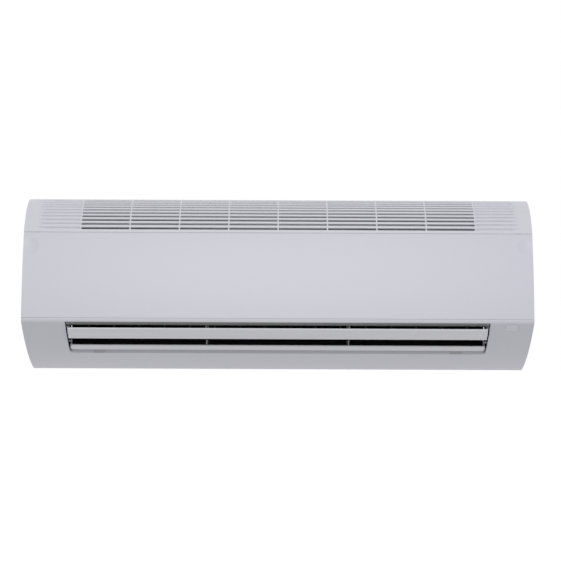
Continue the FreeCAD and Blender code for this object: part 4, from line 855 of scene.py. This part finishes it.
@dataclass(frozen=True)
class FinBank:
    """Stack of thin fins that makes one straight part of the coil."""

    node: str
    foot: Pair
    lean: float
    length: float
    reach: float = 0.312
    depth: float = 0.025
    pitch: float = 0.0016
    sheet: float = 0.0002
    corner: float = 0.002

    def model(self) -> bpy.types.Object:
        """Model one fin with round corners and repeat it along the coil.

        Returns:
            The stack.
        """
        angle = math.radians(self.lean)
        half = self.length / 2
        y = self.foot[0] + math.sin(angle) * half
        z = self.foot[1] + math.cos(angle) * half
        Bench.clear()
        bpy.ops.mesh.primitive_cube_add(
            size=1.0, location=(self.pitch / 2 - self.reach, y, z), rotation=(-angle, 0.0, 0.0),
        )
        bpy.context.object.scale = (self.sheet, self.depth, self.length)
        fin = Bench.settle(self.node + "_stack")
        flat = self.sheet / 2
        Bench.edit_edges(fin, lambda first, second: abs(first.x - second.x) > flat)
        bpy.ops.mesh.bevel(offset=self.corner, segments=2, affect="EDGES")
        bpy.ops.object.mode_set(mode="OBJECT")
        Bench.row(fin, int(2 * self.reach / self.pitch), (self.pitch, 0.0, 0.0))
        return fin


@dataclass(frozen=True)
class FlareUnion:
    """Brass union at a pipe's end: a six-sided collar and a thread."""

    node: str
    start: Triple
    radius: float
    length: float = 0.016
    collar: float = 0.0045
    chamfer: float = 0.0006
    pitch: float = 0.0014
    crest: float = 0.42
    sides: int = 40

    def ring(self, sides: int, low: float, length: float) -> bpy.types.Object:
        """Add a short prism round the pipe's axis.

        Args:
            sides: Number of its sides.
            low: Its start along the union.
            length: Its length.

        Returns:
            The prism.
        """
        x, y, z = self.start
        Bench.clear()
        bpy.ops.mesh.primitive_cylinder_add(
            vertices=sides, radius=self.radius, depth=length,
            location=(x + low + length / 2, y, z), rotation=(0.0, QUARTER_TURN, 0.0),
        )
        return Bench.settle(self.node + "_ring")

    def soften(self, piece: bpy.types.Object, offset: float) -> None:
        """Bevel the rims of a prism.

        Args:
            piece: Active prism.
            offset: Width of the bevel.
        """
        Bench.edit_edges(piece, lambda first, second: abs(first.x - second.x) < self.chamfer / 2)
        bpy.ops.mesh.bevel(offset=offset, segments=1, affect="EDGES")
        bpy.ops.object.mode_set(mode="OBJECT")

    def model(self) -> bpy.types.Object:
        """Model the collar and the thread and join them.

        Returns:
            The union.
        """
        thread = self.ring(self.sides, self.collar, self.pitch)
        self.soften(thread, self.pitch * self.crest)
        Bench.row(thread, int((self.length - self.collar) / self.pitch), (self.pitch, 0.0, 0.0))
        nut = self.ring(NUT_SIDES, 0.0, self.collar)
        self.soften(nut, self.chamfer)
        thread.select_set(True)
        bpy.ops.object.join()
        return Bench.settle(self.node + "_thread")


@dataclass
class Coil(Assembly):
    """Fin banks, tube circuit and the two pipes with their unions."""

    nodes: tuple[str, ...] = (
        "fins_low", "fins_high", "fins_rear", "coil_end_plates", "coil_tube",
        "liquid_pipe", "liquid_union", "suction_pipe", "suction_union",
    )
    banks: tuple[FinBank, ...] = (
        FinBank("fins_low", (-0.154, -0.030), 16.3, 0.075),
        FinBank("fins_high", (-0.124, 0.050), 34.2, 0.0605),
        FinBank("fins_rear", (-0.069, 0.096), 143.8, 0.0644),
    )
    unions: tuple[FlareUnion, ...] = (
        FlareUnion("liquid_union", (-0.180, -0.050, -0.105), 0.00556),
        FlareUnion("suction_union", (-0.130, -0.0339321, -0.084), 0.00794),
    )

    def build(self) -> None:
        """Dress the coil, stack its fins and cut the unions' threads."""
        self.dress()
        for bank in self.banks:
            self.keep(bank.model(), Slot.FINS, Body.UNIT, bank.node)
        for union in self.unions:
            self.keep(union.model(), Slot.BRASS, Body.UNIT, union.node)


@dataclass(frozen=True)
class SoftLight:
    """Square soft light."""

    name: str
    place: Triple
    size: float
    power: float
    target: Triple = (0.0, -0.15, 0.0)

    def hang(self) -> None:
        """Hang the light and turn it to its target."""
        bpy.ops.object.light_add(type="AREA", location=self.place)
        lamp = bpy.context.object
        lamp.name = self.name
        lamp.data.size = self.size
        lamp.data.energy = self.power
        way = Vector(self.target) - Vector(self.place)
        lamp.rotation_euler = way.to_track_quat("-Z", "Y").to_euler()


@dataclass
class Studio:
    """Floor, soft light, white surroundings and the camera."""

    lens: float = 144.2
    sensor: float = 36.0
    distance: float = 3.5
    height: float = 0.0080
    side: float = 0.0041
    roll: float = -0.25
    floor_level: float = -0.75
    floor_size: float = 30.0
    floor_colour: Triple = (0.70, 0.70, 0.71)
    floor_glow: float = 0.66
    sky_colour: Triple = (0.97, 0.975, 1.0)
    sky: float = 0.55
    white: Triple = (1.0, 1.0, 1.0)
    light: SoftLight = SoftLight("front_light", (0.0, -1.7, 0.9), 1.0, 8.0)

    def build_floor(self) -> None:
        """Lay a plain pale floor that keeps the unit's shadow, looks white and is clear from below."""
        Bench.clear()
        bpy.ops.mesh.primitive_plane_add(size=self.floor_size, location=(0.0, 0.0, self.floor_level))
        floor = bpy.context.object
        floor.name = "studio_floor"
        made = bpy.data.materials.new("studio_floor")
        graph = Graph(made, "ShaderNodeOutputMaterial")
        matt = graph.add("ShaderNodeBsdfDiffuse", None, {"Color": self.floor_colour})
        glow = graph.add("ShaderNodeEmission", None, {"Color": self.white, "Strength": self.floor_glow})
        pale = graph.add("ShaderNodeAddShader", None, {0: matt.outputs[0], 1: glow.outputs[0]})
        sockets = {0: graph.plain_view(), 1: matt.outputs[0], 2: pale.outputs[0]}
        seen = graph.add("ShaderNodeMixShader", None, sockets)
        clear = graph.add("ShaderNodeBsdfTransparent")
        below = graph.add("ShaderNodeNewGeometry").outputs["Backfacing"]
        sockets = {0: below, 1: seen.outputs[0], 2: clear.outputs[0]}
        graph.show(graph.add("ShaderNodeMixShader", None, sockets))
        floor.data.materials.append(made)

    def build_world(self) -> None:
        """Surround the unit with soft even light that looks white to the camera."""
        world = bpy.data.worlds.new("studio_world")
        bpy.context.scene.world = world
        graph = Graph(world, "ShaderNodeOutputWorld")
        soft = graph.add("ShaderNodeBackground", None, {"Color": self.sky_colour, "Strength": self.sky})
        plain = graph.add("ShaderNodeBackground", None, {"Color": self.white, "Strength": 1.0})
        sockets = {0: graph.plain_view(), 1: soft.outputs[0], 2: plain.outputs[0]}
        graph.show(graph.add("ShaderNodeMixShader", None, sockets))

    def build_camera(self) -> None:
        """Stand the camera in front of the unit, at the photograph's angle."""
        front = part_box("front_frame")[0].y
        bpy.ops.object.camera_add(location=(self.side, front - self.distance, self.height))
        camera = bpy.context.object
        camera.rotation_euler = (QUARTER_TURN, math.radians(self.roll), 0.0)
        camera.data.lens = self.lens
        camera.data.sensor_width = self.sensor
        bpy.context.scene.camera = camera

    def build(self) -> None:
        """Build the whole studio."""
        bpy.context.scene.view_settings.view_transform = "Standard"
        self.build_floor()
        self.build_world()
        self.light.hang()
        self.build_camera()
        LOG.info("studio ready")


def main() -> None:
    """Dress the unit, model its finer pieces and set up the studio."""
    logging.basicConfig(level=logging.INFO)
    palette = Palette()
    groups: list[Assembly] = [
        Mounting(palette),
        Casing(palette),
        FrontPanel(palette),
        AirFilter(palette, side="left", body=Body.FILTER_LEFT, low=-0.3225, high=-0.009),
        AirFilter(palette, side="right", body=Body.FILTER_RIGHT, low=0.009, high=0.3225),
        Coil(palette),
        Fan(palette),
        Outlet(palette),
        Controls(palette),
    ]
    for group in groups:
        group.build()
    bare = set(frame["nodes"]) - {name for group in groups for name in group.nodes}
    if bare:
        raise RuntimeError("not dressed: " + ", ".join(sorted(bare)))
    Studio().build()


if __name__ == "__main__":
    main()
